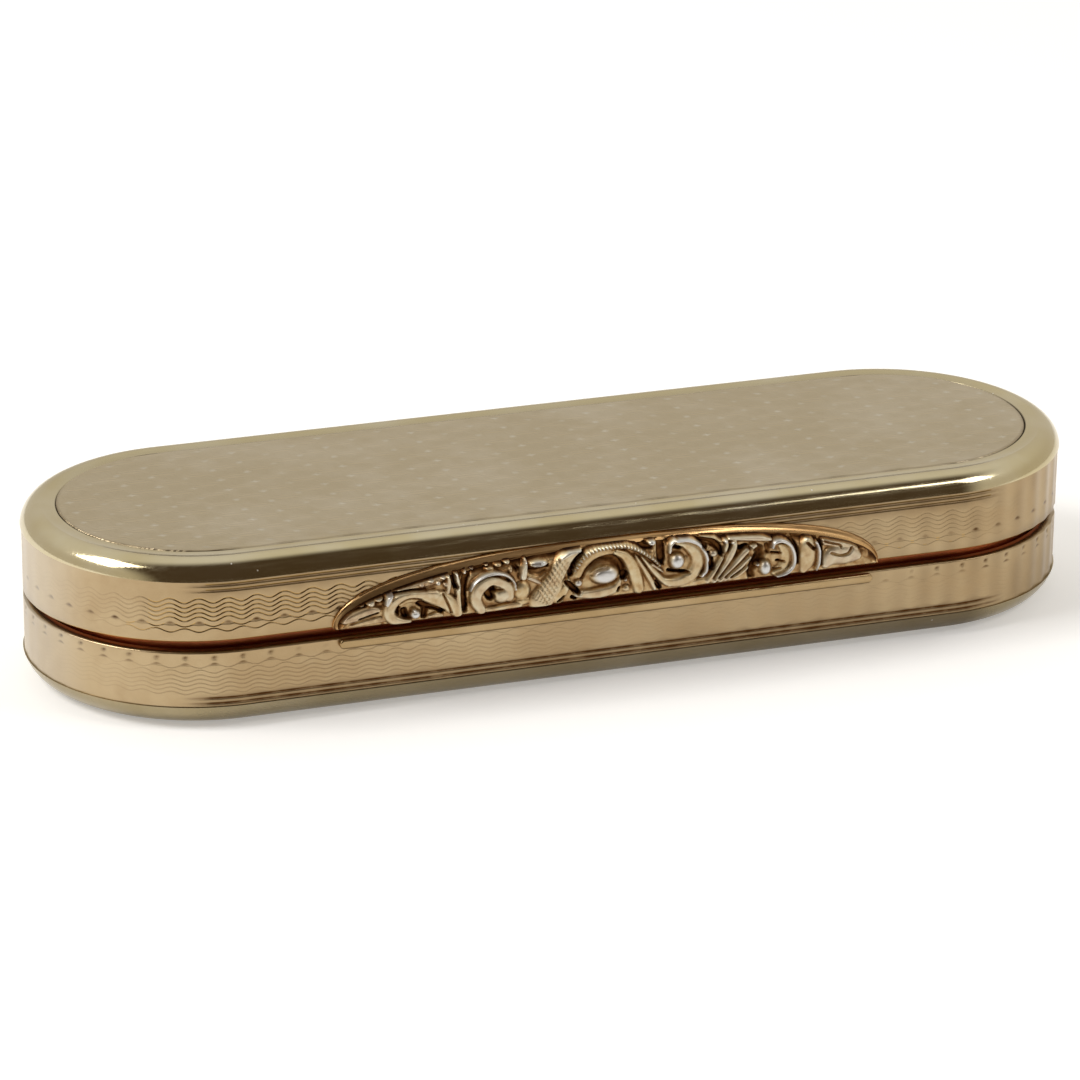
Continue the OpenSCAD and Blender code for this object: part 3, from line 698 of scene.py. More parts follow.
# Scrollwork, in mm from the thumbpiece's middle and above the lid's edge. Bands: how far they stand proud,
# how far they are worn to silver, then x, height and half width along the path.
scrollBands = [
    # left tip: two leaves, a worn bead
    (0.34, 0.2, [(-12.7, 0.45, 0.15), (-12.1, 0.6, 0.24), (-11.5, 0.75, 0.24), (-11.1, 0.8, 0.12)]),
    (0.32, 0.1, [(-12.4, 0.2, 0.08), (-11.7, 0.28, 0.15), (-11.05, 0.35, 0.17), (-10.85, 0.3, 0.1)]),
    (0.6, 0.8, [(-10.78, 1.08, 0.1), (-10.68, 1.3, 0.15), (-10.55, 1.52, 0.1)]),
    # first C-scroll, the roll inside it, its broad leaf and the foliage above
    (0.5, 0.1, [(-8.5, 1.2, 0.3), (-9.1, 1.32, 0.22), (-9.7, 1.38, 0.17), (-10.2, 1.25, 0.22),
                (-10.55, 0.95, 0.28), (-10.65, 0.6, 0.3), (-10.45, 0.3, 0.26), (-10.05, 0.18, 0.15),
                (-9.7, 0.16, 0.1)]),
    (0.26, 0.0, [(-10.1, 0.9, 0.1), (-9.75, 1.05, 0.12), (-9.35, 1.02, 0.12), (-9.1, 0.85, 0.08)]),
    (0.5, 0.05, [(-9.0, 1.2, 0.2), (-8.4, 1.05, 0.38), (-7.95, 0.8, 0.42), (-7.6, 0.5, 0.34), (-7.45, 0.25, 0.25)]),
    (0.36, 0.1, [(-8.75, 0.22, 0.1), (-8.45, 0.25, 0.14), (-8.15, 0.2, 0.08)]),
    (0.26, 0.15, [(-10.3, 1.56, 0.05), (-9.5, 1.65, 0.12), (-8.8, 1.8, 0.22), (-8.2, 2.0, 0.28), (-7.95, 2.1, 0.2)]),
    (0.46, 0.2, [(-7.9, 1.3, 0.1), (-7.85, 1.75, 0.12), (-7.9, 2.2, 0.06)]),
    (0.5, 0.1, [(-7.5, 2.15, 0.06), (-7.45, 1.7, 0.12), (-7.4, 1.1, 0.16), (-7.4, 0.4, 0.16)]),
    # big volute: cap, spiral, worn ridge, lower lip
    (0.45, 0.6, [(-7.1, 2.05, 0.06), (-6.9, 2.2, 0.1), (-6.65, 2.28, 0.06)]),
    (0.52, 0.15, [(-6.35, 0.25, 0.25), (-6.6, 0.75, 0.3), (-6.45, 1.25, 0.33), (-6.0, 1.55, 0.33),
                  (-5.45, 1.5, 0.32), (-5.1, 1.15, 0.3), (-5.05, 0.75, 0.28)]),
    (0.62, 0.8, [(-6.9, 1.25, 0.05), (-6.7, 1.6, 0.07), (-6.3, 1.85, 0.08), (-5.75, 1.95, 0.08),
                 (-5.2, 1.8, 0.08), (-4.85, 1.45, 0.07), (-4.75, 1.05, 0.05)]),
    (0.4, 0.05, [(-6.5, 0.22, 0.12), (-5.8, 0.2, 0.14), (-5.0, 0.25, 0.16), (-4.5, 0.25, 0.15)]),
    (0.62, 0.3, [(-4.4, 1.62, 0.18), (-4.36, 1.85, 0.17), (-4.3, 2.15, 0.09), (-4.27, 2.4, 0.03)]),
    (0.36, 0.3, [(-4.1, 1.45, 0.08), (-3.8, 1.3, 0.1), (-3.55, 1.15, 0.08)]),
    # hatched acanthus stalk
    (0.52, 0.1, [(-3.5, 0.3, 0.6), (-3.1, 0.8, 0.55), (-2.8, 1.4, 0.42), (-2.5, 2.0, 0.4), (-2.1, 2.35, 0.26),
                 (-1.6, 2.55, 0.1)]),
    (0.48, 0.0, [(-2.7, 0.4, 0.35), (-2.4, 0.8, 0.25), (-2.25, 1.15, 0.12)]),
    (0.57, 0.4, [(-2.6, 2.25, 0.08), (-2.2, 2.45, 0.12), (-1.7, 2.55, 0.06)]),
    # middle scroll: inner slope, stalk on the right, ribbed leaf, lower band of the disc
    (0.34, 0.0, [(-1.75, 1.3, 0.2), (-1.5, 1.75, 0.22), (-1.0, 2.15, 0.22), (-0.4, 2.28, 0.2), (0.1, 2.25, 0.2)]),
    (0.5, 0.0, [(0.0, 2.25, 0.16), (0.45, 2.0, 0.24), (0.8, 1.5, 0.3), (1.0, 0.9, 0.32), (1.15, 0.35, 0.28)]),
    (0.48, 0.1, [(0.95, 1.95, 0.06), (1.35, 1.3, 0.12), (1.75, 0.6, 0.14), (1.9, 0.25, 0.1)]),
    (0.52, 0.1, [(1.25, 1.85, 0.06), (1.75, 1.2, 0.13), (2.3, 0.6, 0.16), (2.6, 0.35, 0.12)]),
    (0.46, 0.3, [(1.75, 1.45, 0.05), (2.05, 1.2, 0.08), (2.3, 1.0, 0.05)]),
    (0.48, 0.1, [(-1.65, 0.4, 0.2), (-1.1, 0.35, 0.25), (-0.5, 0.38, 0.28), (0.0, 0.5, 0.25), (0.18, 0.8, 0.15)]),
    # fourth scroll: arm, band, worn ridge, stems
    (0.5, 0.5, [(2.6, 1.9, 0.08), (2.65, 2.25, 0.1), (2.85, 2.45, 0.1)]),
    (0.52, 0.05, [(2.95, 2.3, 0.12), (3.4, 2.15, 0.22), (3.8, 1.8, 0.3), (3.95, 1.3, 0.34), (3.75, 0.8, 0.34),
                  (3.3, 0.5, 0.3), (2.75, 0.45, 0.24), (2.3, 0.6, 0.16)]),
    (0.66, 0.9, [(2.9, 2.43, 0.06), (3.35, 2.45, 0.1), (3.85, 2.25, 0.11), (4.2, 1.85, 0.1), (4.38, 1.35, 0.1),
                 (4.32, 0.85, 0.09), (4.1, 0.6, 0.06)]),
    (0.44, 0.0, [(3.2, 0.25, 0.15), (4.0, 0.3, 0.2), (4.6, 0.35, 0.2)]),
    (0.36, 0.0, [(4.2, 2.45, 0.08), (4.7, 2.35, 0.1), (5.1, 2.1, 0.08)]),
    # lobed acanthus
    (0.5, 0.1, [(4.45, 0.3, 0.15), (4.95, 0.85, 0.22), (5.25, 1.4, 0.18), (5.35, 1.85, 0.12), (5.35, 2.15, 0.08)]),
    (0.54, 0.2, [(4.75, 0.3, 0.16), (5.3, 0.9, 0.22), (5.6, 1.5, 0.2), (5.75, 1.95, 0.12), (5.7, 2.1, 0.06)]),
    (0.54, 0.2, [(5.05, 0.3, 0.16), (5.7, 0.85, 0.2), (6.2, 1.4, 0.2), (6.6, 1.7, 0.14), (6.78, 1.75, 0.06)]),
    (0.5, 0.2, [(5.3, 0.3, 0.14), (5.9, 0.65, 0.18), (6.3, 1.0, 0.17), (6.5, 1.2, 0.08)]),
    (0.46, 0.1, [(5.5, 0.28, 0.12), (6.0, 0.45, 0.15), (6.35, 0.7, 0.1)]),
    (0.46, 0.3, [(5.5, 2.2, 0.08), (6.3, 2.12, 0.12), (7.0, 2.03, 0.14), (7.5, 1.93, 0.08)]),
    # fifth scroll: worn ridge and face
    (0.64, 0.85, [(7.55, 1.55, 0.06), (7.65, 1.8, 0.1), (8.0, 1.85, 0.11), (8.4, 1.6, 0.11), (8.62, 1.1, 0.11),
                  (8.6, 0.6, 0.1), (8.3, 0.28, 0.1), (7.8, 0.15, 0.07)]),
    (0.44, 0.0, [(7.95, 1.6, 0.12), (8.2, 1.3, 0.26), (8.25, 0.9, 0.3), (8.1, 0.5, 0.28), (7.7, 0.3, 0.15)]),
    # pods at the right end
    (0.46, 0.05, [(9.15, 0.25, 0.2), (9.35, 0.7, 0.42), (9.35, 1.2, 0.42), (9.35, 1.5, 0.3), (9.3, 1.7, 0.1)]),
    (0.6, 0.9, [(9.75, 0.2, 0.05), (9.88, 0.6, 0.09), (9.88, 1.1, 0.09), (9.75, 1.5, 0.07)]),
    (0.46, 0.25, [(10.25, 0.4, 0.25), (10.6, 0.75, 0.48), (11.1, 0.75, 0.52), (11.5, 0.7, 0.42), (11.8, 0.6, 0.22)]),
    (0.42, 0.2, [(10.1, 1.45, 0.15), (10.7, 1.35, 0.2), (11.3, 1.15, 0.18), (11.75, 0.95, 0.1)]),
]
# Milled edge of the middle scroll: how far it stands proud and is worn, the pitch of its beads, then its path
milledEdge = (0.62, 0.5, 0.17, [
    (-1.95, 1.6, 0.12), (-1.55, 2.12, 0.15), (-1.05, 2.4, 0.16), (-0.4, 2.5, 0.16), (0.2, 2.5, 0.16),
    (0.8, 2.35, 0.15), (1.3, 2.06, 0.14), (1.8, 1.68, 0.12), (2.1, 1.35, 0.08)])
# Knobs: how far they stand proud and are worn to silver, x, height, half width and half height
scrollKnobs = [
    (0.42, 0.9, -12.8, 0.72, 0.2, 0.22), (0.34, 0.6, -12.4, 1.0, 0.24, 0.15), (0.3, 0.3, -11.9, 1.12, 0.2, 0.14),
    (0.38, 0.3, -11.45, 1.15, 0.22, 0.2), (0.4, 0.25, -11.1, 1.35, 0.22, 0.2),
    (0.6, 0.9, -9.45, 0.45, 0.3, 0.26), (0.66, 0.7, -9.5, 0.64, 0.14, 0.13),
    (0.4, 0.4, -8.65, 1.9, 0.16, 0.14), (0.44, 0.6, -8.35, 1.75, 0.16, 0.13), (0.42, 0.4, -8.1, 2.0, 0.14, 0.16),
    (0.4, 0.3, -8.0, 1.65, 0.15, 0.14), (0.36, 0.3, -9.1, 1.72, 0.16, 0.1), (0.34, 0.3, -8.35, 2.1, 0.12, 0.1),
    (0.3, 0.0, -5.8, 1.0, 1.05, 0.85), (0.56, 0.2, -5.35, 0.85, 0.5, 0.45),
    (0.3, 0.2, -6.05, 2.33, 0.14, 0.1), (0.28, 0.1, -5.9, 2.1, 0.25, 0.1), (0.3, 0.1, -5.5, 2.22, 0.2, 0.1),
    (0.34, 0.2, -5.1, 2.33, 0.16, 0.14), (0.36, 0.1, -4.95, 1.95, 0.14, 0.2), (0.4, 0.2, -4.45, 2.55, 0.2, 0.1),
    (0.46, 0.0, -4.4, 0.9, 0.46, 0.55), (0.4, 0.0, -4.35, 0.4, 0.45, 0.25), (0.6, 0.9, -3.65, 2.15, 0.52, 0.2),
    (0.5, 0.7, -1.75, 0.95, 0.24, 0.2), (0.42, 0.2, -1.75, 0.38, 0.25, 0.2),
    (0.62, 0.9, -0.5, 1.2, 0.76, 0.5), (0.4, 0.6, 0.52, 0.82, 0.14, 0.12), (0.42, 0.1, 0.55, 0.4, 0.24, 0.2),
    (0.5, 0.8, 1.75, 2.46, 0.24, 0.16), (0.34, 0.0, 1.75, 1.9, 0.22, 0.25), (0.4, 0.1, 2.25, 2.58, 0.25, 0.1),
    (0.66, 0.95, 2.95, 1.45, 0.42, 0.44), (0.5, 0.95, 2.62, 2.0, 0.12, 0.12), (0.3, 0.0, 3.4, 1.2, 0.5, 0.6),
    (0.42, 0.4, 4.75, 1.55, 0.25, 0.2),
    (0.56, 0.8, 5.3, 2.1, 0.12, 0.14), (0.54, 0.7, 5.65, 2.0, 0.12, 0.1), (0.5, 0.5, 6.65, 1.68, 0.16, 0.1),
    (0.62, 0.95, 7.25, 0.6, 0.34, 0.42), (0.5, 0.8, 6.88, 0.78, 0.14, 0.1), (0.3, 0.0, 7.9, 1.0, 0.5, 0.7),
    (0.2, 0.0, 12.1, 0.5, 0.4, 0.4),
]
# Hollows between the scrolls: depth, then x, height and half width along the path
scrollHollows = [
    (0.3, [(-10.25, 0.5, 0.12), (-10.2, 0.95, 0.2), (-9.85, 1.15, 0.22), (-9.4, 1.15, 0.24), (-9.05, 0.9, 0.22),
           (-8.95, 0.6, 0.2), (-9.0, 0.25, 0.16)]), (0.28, [(-9.85, 0.28, 0.12), (-9.95, 0.6, 0.2)]),
    (0.1, [(-10.9, 0.1, 0.1), (-10.95, 0.3, 0.1)]),
    (0.1, [(-12.3, 0.9, 0.12), (-11.6, 0.95, 0.12), (-10.95, 1.0, 0.1)]),
    (0.3, [(-7.68, 2.1, 0.07), (-7.6, 1.95, 0.12), (-7.5, 1.7, 0.1), (-7.42, 1.45, 0.04)]),
    (0.3, [(-6.8, 2.15, 0.1), (-7.0, 1.9, 0.14), (-7.12, 1.6, 0.13), (-7.18, 1.2, 0.12), (-7.15, 0.7, 0.14),
           (-7.1, 0.3, 0.16)]),
    (0.24, [(-6.0, 1.2, 0.13), (-6.08, 1.0, 0.16), (-5.95, 0.82, 0.1)]),
    (0.26, [(-4.98, 2.3, 0.12), (-4.8, 2.15, 0.16), (-4.62, 1.95, 0.14)]),
    (0.12, [(-4.8, 1.3, 0.1), (-4.72, 0.85, 0.1)]),
    (0.22, [(-3.95, 1.75, 0.16), (-3.6, 1.65, 0.22), (-3.3, 1.75, 0.14)]),
    (0.26, [(-1.65, 1.2, 0.2), (-1.45, 1.65, 0.3), (-0.95, 1.95, 0.32), (-0.4, 2.0, 0.3), (0.05, 1.85, 0.28),
            (0.3, 1.5, 0.2), (0.4, 1.1, 0.14)]),
    (0.3, [(-2.3, 1.1, 0.1), (-2.1, 0.85, 0.14), (-1.9, 0.6, 0.13), (-1.85, 0.4, 0.08)]),
    (0.3, [(0.48, 1.15, 0.12), (0.45, 0.92, 0.13)]), (0.28, [(0.2, 0.52, 0.07), (0.13, 0.34, 0.06)]),
    (0.26, [(1.15, 2.38, 0.07), (1.45, 2.24, 0.1), (1.8, 2.16, 0.06)]),
    (0.3, [(2.25, 2.4, 0.14), (2.25, 2.0, 0.17), (2.26, 1.6, 0.15), (2.3, 1.35, 0.08)]),
    (0.3, [(4.5, 1.6, 0.1), (4.6, 1.2, 0.13), (4.62, 0.95, 0.08)]),
    (0.26, [(4.35, 2.08, 0.12), (4.75, 1.95, 0.14), (5.05, 1.7, 0.12)]),
    (0.3, [(6.85, 1.6, 0.2), (7.05, 1.35, 0.3), (6.95, 1.1, 0.28), (6.75, 0.8, 0.25), (6.6, 0.5, 0.22),
           (6.65, 0.2, 0.2)]),
    (0.22, [(7.35, 1.65, 0.12), (7.4, 1.35, 0.15)]), (0.16, [(12.3, 0.6, 0.2), (12.7, 0.3, 0.2)]),
]
# Chased lines and gaps: depth, half width, then x and height along the path
scrollCuts = [
    (0.3, 0.035, [(-12.0, 0.48), (-11.6, 0.58), (-11.15, 0.68)]),
    (0.2, 0.04, [(-10.4, 1.5), (-9.6, 1.55), (-8.9, 1.5)]),
    (0.6, 0.07, [(-9.25, 0.9), (-8.95, 0.72), (-8.5, 0.6), (-8.15, 0.42)]),
    (0.2, 0.035, [(-8.15, 1.25), (-7.95, 0.8), (-7.75, 0.3)]),
    (0.6, 0.06, [(-7.75, 2.15), (-7.65, 1.8), (-7.5, 1.45)]),
    (0.9, 0.1, [(-6.9, 2.1), (-7.1, 1.7), (-7.18, 1.2), (-7.12, 0.5)]),
    (0.25, 0.04, [(-6.55, 1.62), (-6.1, 1.8), (-5.6, 1.78), (-5.05, 1.5)]),
    (0.4, 0.13, [(-5.85, 1.2), (-6.0, 1.0), (-5.9, 0.8)]), (0.2, 0.03, [(-5.75, 1.1), (-5.35, 1.12)]),
    (0.15, 0.04, [(-3.95, 2.15), (-3.6, 2.17)]), (0.5, 0.06, [(-4.1, 1.92), (-3.7, 1.86), (-3.2, 1.95)]),
    (0.7, 0.08, [(-2.3, 1.05), (-2.05, 0.8), (-1.75, 0.5)]), (0.5, 0.05, [(-2.7, 0.2), (-2.45, 0.4)]),
    (0.5, 0.05, [(-2.0, 0.28), (-1.85, 0.18)]), (0.9, 0.08, [(-2.1, 1.4), (-2.05, 1.8), (-1.85, 2.2), (-1.45, 2.52)]),
    (0.14, 0.04, [(-1.12, 1.25), (-0.85, 1.48), (-0.4, 1.55)]),
    (0.6, 0.09, [(0.5, 1.1), (0.42, 0.95)]), (0.5, 0.06, [(0.2, 0.5), (0.15, 0.35)]),
    (0.5, 0.06, [(1.98, 0.5), (2.2, 0.22)]),
    (0.6, 0.07, [(1.2, 2.42), (1.4, 2.28), (1.75, 2.22)]), (0.7, 0.12, [(2.22, 2.45), (2.2, 2.0), (2.25, 1.6)]),
    (0.3, 0.05, [(2.6, 1.0), (3.0, 0.9), (3.5, 0.85)]), (0.3, 0.08, [(2.85, 2.15), (3.1, 2.05)]),
    (0.7, 0.12, [(4.58, 1.25), (4.62, 0.95)]), (0.5, 0.08, [(4.2, 2.05), (4.4, 1.9)]),
    (0.5, 0.08, [(4.2, 2.3), (4.7, 2.15), (5.05, 1.8), (5.15, 1.5)]),
    (0.25, 0.045, [(4.75, 0.4), (5.2, 1.2), (5.5, 1.85)]), (0.25, 0.045, [(5.0, 0.4), (5.6, 1.15), (5.95, 1.75)]),
    (0.25, 0.045, [(5.3, 0.4), (6.0, 1.0), (6.5, 1.5)]), (0.25, 0.04, [(5.6, 0.35), (6.15, 0.7), (6.5, 1.05)]),
    (0.3, 0.06, [(6.0, 1.65), (6.3, 1.75), (6.5, 1.62)]),
    (0.16, 0.035, [(7.6, 1.25), (8.0, 1.2)]), (0.2, 0.04, [(7.85, 0.85), (8.15, 0.8)]),
    (0.16, 0.035, [(7.7, 0.45), (8.0, 0.5)]),
    (0.5, 0.06, [(8.5, 1.85), (8.8, 1.3), (8.82, 0.6)]), (0.22, 0.05, [(9.3, 1.55), (9.55, 1.3), (9.65, 1.22)]),
    (0.5, 0.05, [(9.98, 1.7), (10.02, 1.1), (10.0, 0.4)]),
    (0.18, 0.05, [(10.5, 0.9), (10.9, 0.75), (11.3, 0.8), (11.5, 1.05)]),
    (0.16, 0.04, [(10.15, 1.5), (10.6, 1.35), (10.9, 1.25), (10.98, 1.1)]),
]
# Hatching on the acanthus stalk: lines along it, and shorter ones that cross them to a net
hatching = {
    "from": (-3.55, 0.35), "to": (-2.4, 2.15), "spread": 0.36, "lines": 6, "cross": 9,
    "crossReach": (0.2, -0.32), "depth": 0.07, "halfWidth": 0.024,
}
# The casting as a whole: its ground, how it ends at its outline, and how much broader the forms are cut
relief = {
    "columns": 870, "rows": 108, "narrow": 0.995, "ground": 0.24, "sink": -0.12, "seat": 0.2, "fade": 0.4,
    "floor": 0.02, "limit": 0.7, "round": 0.14, "topEdge": 0.05, "broaden": 1.1, "cutBroaden": 1.6,
}


# Catmull-Rom path through the points, about 0.03 mm a step
def smoothPath(points):
    p = np.array(points, float)
    if len(p) == 2:
        return p[0] + (p[1] - p[0]) * np.linspace(0, 1, 24)[:, None]
    p = np.vstack([2 * p[0] - p[1], p, 2 * p[-1] - p[-2]])
    parts = []
    for a, b, c, d in zip(p, p[1:], p[2:], p[3:]):
        t = np.linspace(0, 1, max(6, int(np.hypot(*(c - b)[:2]) / 0.03)), endpoint=False)[:, None]
        parts.append(0.5 * (2 * b + (c - a) * t + (2 * a - 5 * b + 4 * c - d) * t ** 2
                            + (3 * b - a - 3 * c + d) * t ** 3))
    return np.vstack(parts + [p[-2:-1]])


# For the points near a path: which they are, their distance in half widths, and how far along they lie
def nearPath(x, h, path, width):
    reach = np.max(width)
    near = np.flatnonzero((x > path[:, 0].min() - reach) & (x < path[:, 0].max() + reach)
                          & (h > path[:, 1].min() - reach) & (h < path[:, 1].max() + reach))
    share = np.hypot(x[near, None] - path[:, 0], h[near, None] - path[:, 1]) / width
    best = share.argmin(1)
    along = np.concatenate([[0], np.cumsum(np.hypot(*np.diff(path[:, :2], axis=0).T))])
    return near, share[np.arange(len(near)), best], along[best]


def hatchLines(c):
    start, stop = np.array(c["from"]), np.array(c["to"])
    lines = []
    for i in range(c["lines"]):
        off = np.array((1.0, -0.6)) * (2 * i / (c["lines"] - 1) - 1) * c["spread"]
        lines.append((c["depth"], c["halfWidth"], [start + off, stop + off]))
    for i in range(c["cross"]):
        middle = start + (stop - start) * (i + 1) / (c["cross"] + 1)
        lines.append((c["depth"], c["halfWidth"], [middle - c["crossReach"], middle + c["crossReach"]]))
    return lines


# How far each point stands proud, and how far it is worn to silver
def scrollRelief(x, h, top):
    ground = relief["sink"] + (relief["ground"] - relief["sink"]) * smoothStep(top - h, 0.02, relief["fade"])
    field, bare = ground.copy(), np.zeros(len(x))

    def raiseTo(index, height, wear):
        over = height > field[index]
        field[index[over]] = height[over]
        bare[index[over]] = wear * np.clip(4 * (height[over] / height.max() - 0.7), 0, 1)

    for depth, points in scrollHollows:
        path = smoothPath(points)
        near, share = nearPath(x, h, path, path[:, 2])[:2]
        field[near] = np.minimum(field[near], ground[near] * (1 - 3 * depth * np.clip(1 - share ** 2, 0, 1)))
    for proud, wear, points in scrollBands:
        path = smoothPath(points)
        near, share = nearPath(x, h, path, np.maximum(path[:, 2] * relief["broaden"], 0.02))[:2]
        raiseTo(near, proud * np.clip(1 - share ** 4, 0, 1) ** 0.5, wear)
    proud, wear, pitch, points = milledEdge
    path = smoothPath(points)
    near, share, along = nearPath(x, h, path, path[:, 2])
    beads = 0.82 + 0.18 * np.cos(2 * math.pi * along / pitch)
    raiseTo(near, proud * beads * np.sqrt(np.clip(1 - share ** 2, 0, 1)), wear)
    everywhere = np.arange(len(x))
    for proud, wear, cx, ch, rx, rh in scrollKnobs:
        share = np.hypot((x - cx) / rx, (h - ch) / rh)
        raiseTo(everywhere, proud * np.sqrt(np.clip(1 - share ** 3, 0, 1)), wear)
    for depth, width, points in scrollCuts + hatchLines(hatching):
        path = smoothPath(points)
        near, share = nearPath(x, h, path, np.full(len(path), width * relief["cutBroaden"]))[:2]
        field[near] -= depth * np.clip(1 - share ** 2, 0, 1)
    return np.minimum(np.maximum(field, np.minimum(ground, relief["floor"])), relief["limit"]), bare


# Averages a field with its neighbours, a few passes
def soften(field, passes):
    for _ in range(passes):
        wide = np.pad(field, 1, mode="edge")
        field = (wide[:-2, 1:-1] + wide[2:, 1:-1] + wide[1:-1, :-2] + wide[1:-1, 2:] + 4 * field) / 8
    return field


def thumbScrolls(r):
    obj, grid = addGrid(r["columns"], r["rows"])
    x = grid[:, 0] * thumb["innerHalf"] * r["narrow"]
    top = arch(x, thumb["innerHalf"], thumb["innerHeight"], thumb["scrollBend"])
    h = (grid[:, 1] * 0.5 + 0.5) * top
    field, bare = scrollRelief(x, h, top)
    low = np.clip(h / r["round"], 0, 1)             # the casting is rounded off at its outline
    edge = np.minimum(np.sqrt(1 - (1 - low) ** 2), np.clip((top - h) / r["topEdge"], 0, 1))
    field = r["sink"] + (field - r["sink"]) * edge
    order = np.lexsort((grid[:, 0], np.rint((grid[:, 1] + 1) / 2 * r["rows"])))
    sheet = soften(field[order].reshape(r["rows"] + 1, r["columns"] + 1), 3)
    cavity = sheet - soften(sheet, 26)
    face = np.clip((sheet - r["ground"]) / (r["limit"] - r["ground"]), 0, 1)
    # tarnish and painted shade darken the lower points and the hollows; painted highlights pale the ridges
    patinaAndShading = 0.08 + 0.32 * np.clip(sheet / r["ground"], 0, 1) + 0.2 * face + 1.2 * cavity / r["limit"]
    field[order] = sheet.ravel()
    shade = np.empty_like(field)
    shade[order] = np.clip(patinaAndShading, 0, 1).ravel()
    setPoints(obj, np.stack([x, -thumb["front"] - field, thumb["edgeZ"] + h], 1) * mm)
    setAttribute(obj, "patinaAndShading", shade)
    setAttribute(obj, "bare", bare * np.clip((shade - 0.3) / 0.2, 0, 1))
    return closeBack(obj, (1, 0, 1), (0, (r["seat"] - thumb["front"]) * mm, 0))


scrolls = thumbScrolls(relief)
finishPiece(scrolls, "thumbScrolls", "lid", scrollGilt, ["thumbpiece_scrolls"], angle=50)
print("thumbpiece cast:", len(scrolls.data.polygons), "faces")


# Plain strip on the base under the thumbpiece, with softened edges, rounded ends and a painted shadow along its lower
# edge
strip = {"length": 25.6, "bottom": 3.22, "top": 3.68, "front": 8.19, "back": 7.9, "soft": 0.09, "sides": 50}


def baseStrip(s):
    radius = (s["top"] - s["bottom"]) / 2
    clearSelection()
    bpy.ops.mesh.primitive_cylinder_add(vertices=s["sides"], radius=radius, depth=1.0)
    obj = bpy.context.active_object
    ring = getPoints(obj)
    setPoints(obj, np.stack([
        ring[:, 0] + np.sign(ring[:, 0]) * (s["length"] / 2 - radius),
        np.where(ring[:, 2] > 0, -s["front"], -s["back"]),
        s["bottom"] + radius + ring[:, 1]], 1) * mm)
    closeUp(obj)
    applyModifier(obj, "BEVEL", width=s["soft"] * mm, segments=4, limit_method="ANGLE",
                  angle_limit=math.radians(60))
    height = getPoints(obj)[:, 2] / mm
    # painted shadow along the strip's lower edge
    setAttribute(obj, "cut", 0.8 * np.clip((s["bottom"] + 1.2 * s["soft"] - height) / s["soft"], 0, 1))
    return obj


finishPiece(baseStrip(strip), "baseStrip", "base", shadedStripGilt, ["base_strip"], angle=60)
print("strip set")


# Hinge knuckles: lengths of tube with softened mouths, turned about the hinge's axis
knuckle = {"bore": 0.34, "soft": 0.06, "ease": 0.3, "steps": 64}


def turnedTube(k, x, length):
    low, high, soft, out = x - length / 2, x + length / 2, k["soft"], hinge["radius"]
    ease = k["ease"] * soft
    profile = [(k["bore"], low), (out - soft, low), (out - ease, low + ease), (out, low + soft),
               (out, high - soft), (out - ease, high - ease), (out - soft, high), (k["bore"], high)]
    obj = addOutline([(along, box["hingeY"], box["hingeZ"] + radius) for radius, along in profile])
    bpy.ops.mesh.spin(steps=k["steps"], angle=2 * math.pi, axis=(1, 0, 0),
                      center=(0, box["hingeY"] * mm, box["hingeZ"] * mm))
    return closeUp(obj)


pitch = hinge["length"] / hinge["count"]
for i in range(hinge["count"]):
    side, body, order = ("Base", "base", i // 2 + 1) if i % 2 == 0 else ("Lid", "lid", i // 2 + 1)
    tube = turnedTube(knuckle, -hinge["length"] / 2 + (i + 0.5) * pitch, pitch - hinge["gap"])
    finishPiece(tube, "hinge%sKnuckle%d" % (side, order), body, hingeGilt,
                ["%s_knuckle_%d" % (body, order)])
print("hinge turned")


# Grille: the pierced plate and its tab, with their edges softened by the saw and the burnisher
grille = {"soft": 0.05, "pieces": {"grillePlate": "grille_plate", "grilleTab": "grille_tab"}}


def softenedCopy(node, soft):
    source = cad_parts[node]
    clearSelection()
    bpy.ops.mesh.primitive_plane_add(size=1)
    obj = bpy.context.active_object
    obj.data = source.data.copy()
    obj.data.transform(source.matrix_world)
    editAll(obj)
    bpy.ops.mesh.remove_doubles(threshold=0.002 * mm)
    bpy.ops.mesh.dissolve_limited(angle_limit=math.radians(1))
    bpy.ops.mesh.normals_make_consistent(inside=False)
    bpy.ops.object.mode_set(mode="OBJECT")
    applyModifier(obj, "BEVEL", width=soft * mm, segments=2, limit_method="ANGLE", angle_limit=math.radians(40))
    return obj


for name, node in grille["pieces"].items():
    finishPiece(softenedCopy(node, grille["soft"]), name, "grille", grilleGilt, [node])
print("grille pierced")


# Sponge: a pad cut to the box's plan, full of round pores
sponge = {
    "radius": 5.5, "bottom": 0.5, "top": 3.8, "inset": 0.02, "columns": 380, "rows": 96,
    "seed": 4, "pores": 1500, "reach": (22, 5.4),
    "smallest": 0.16, "largest": 0.5, "depth": 0.7, "crown": 0.2, "edge": 0.7,
}


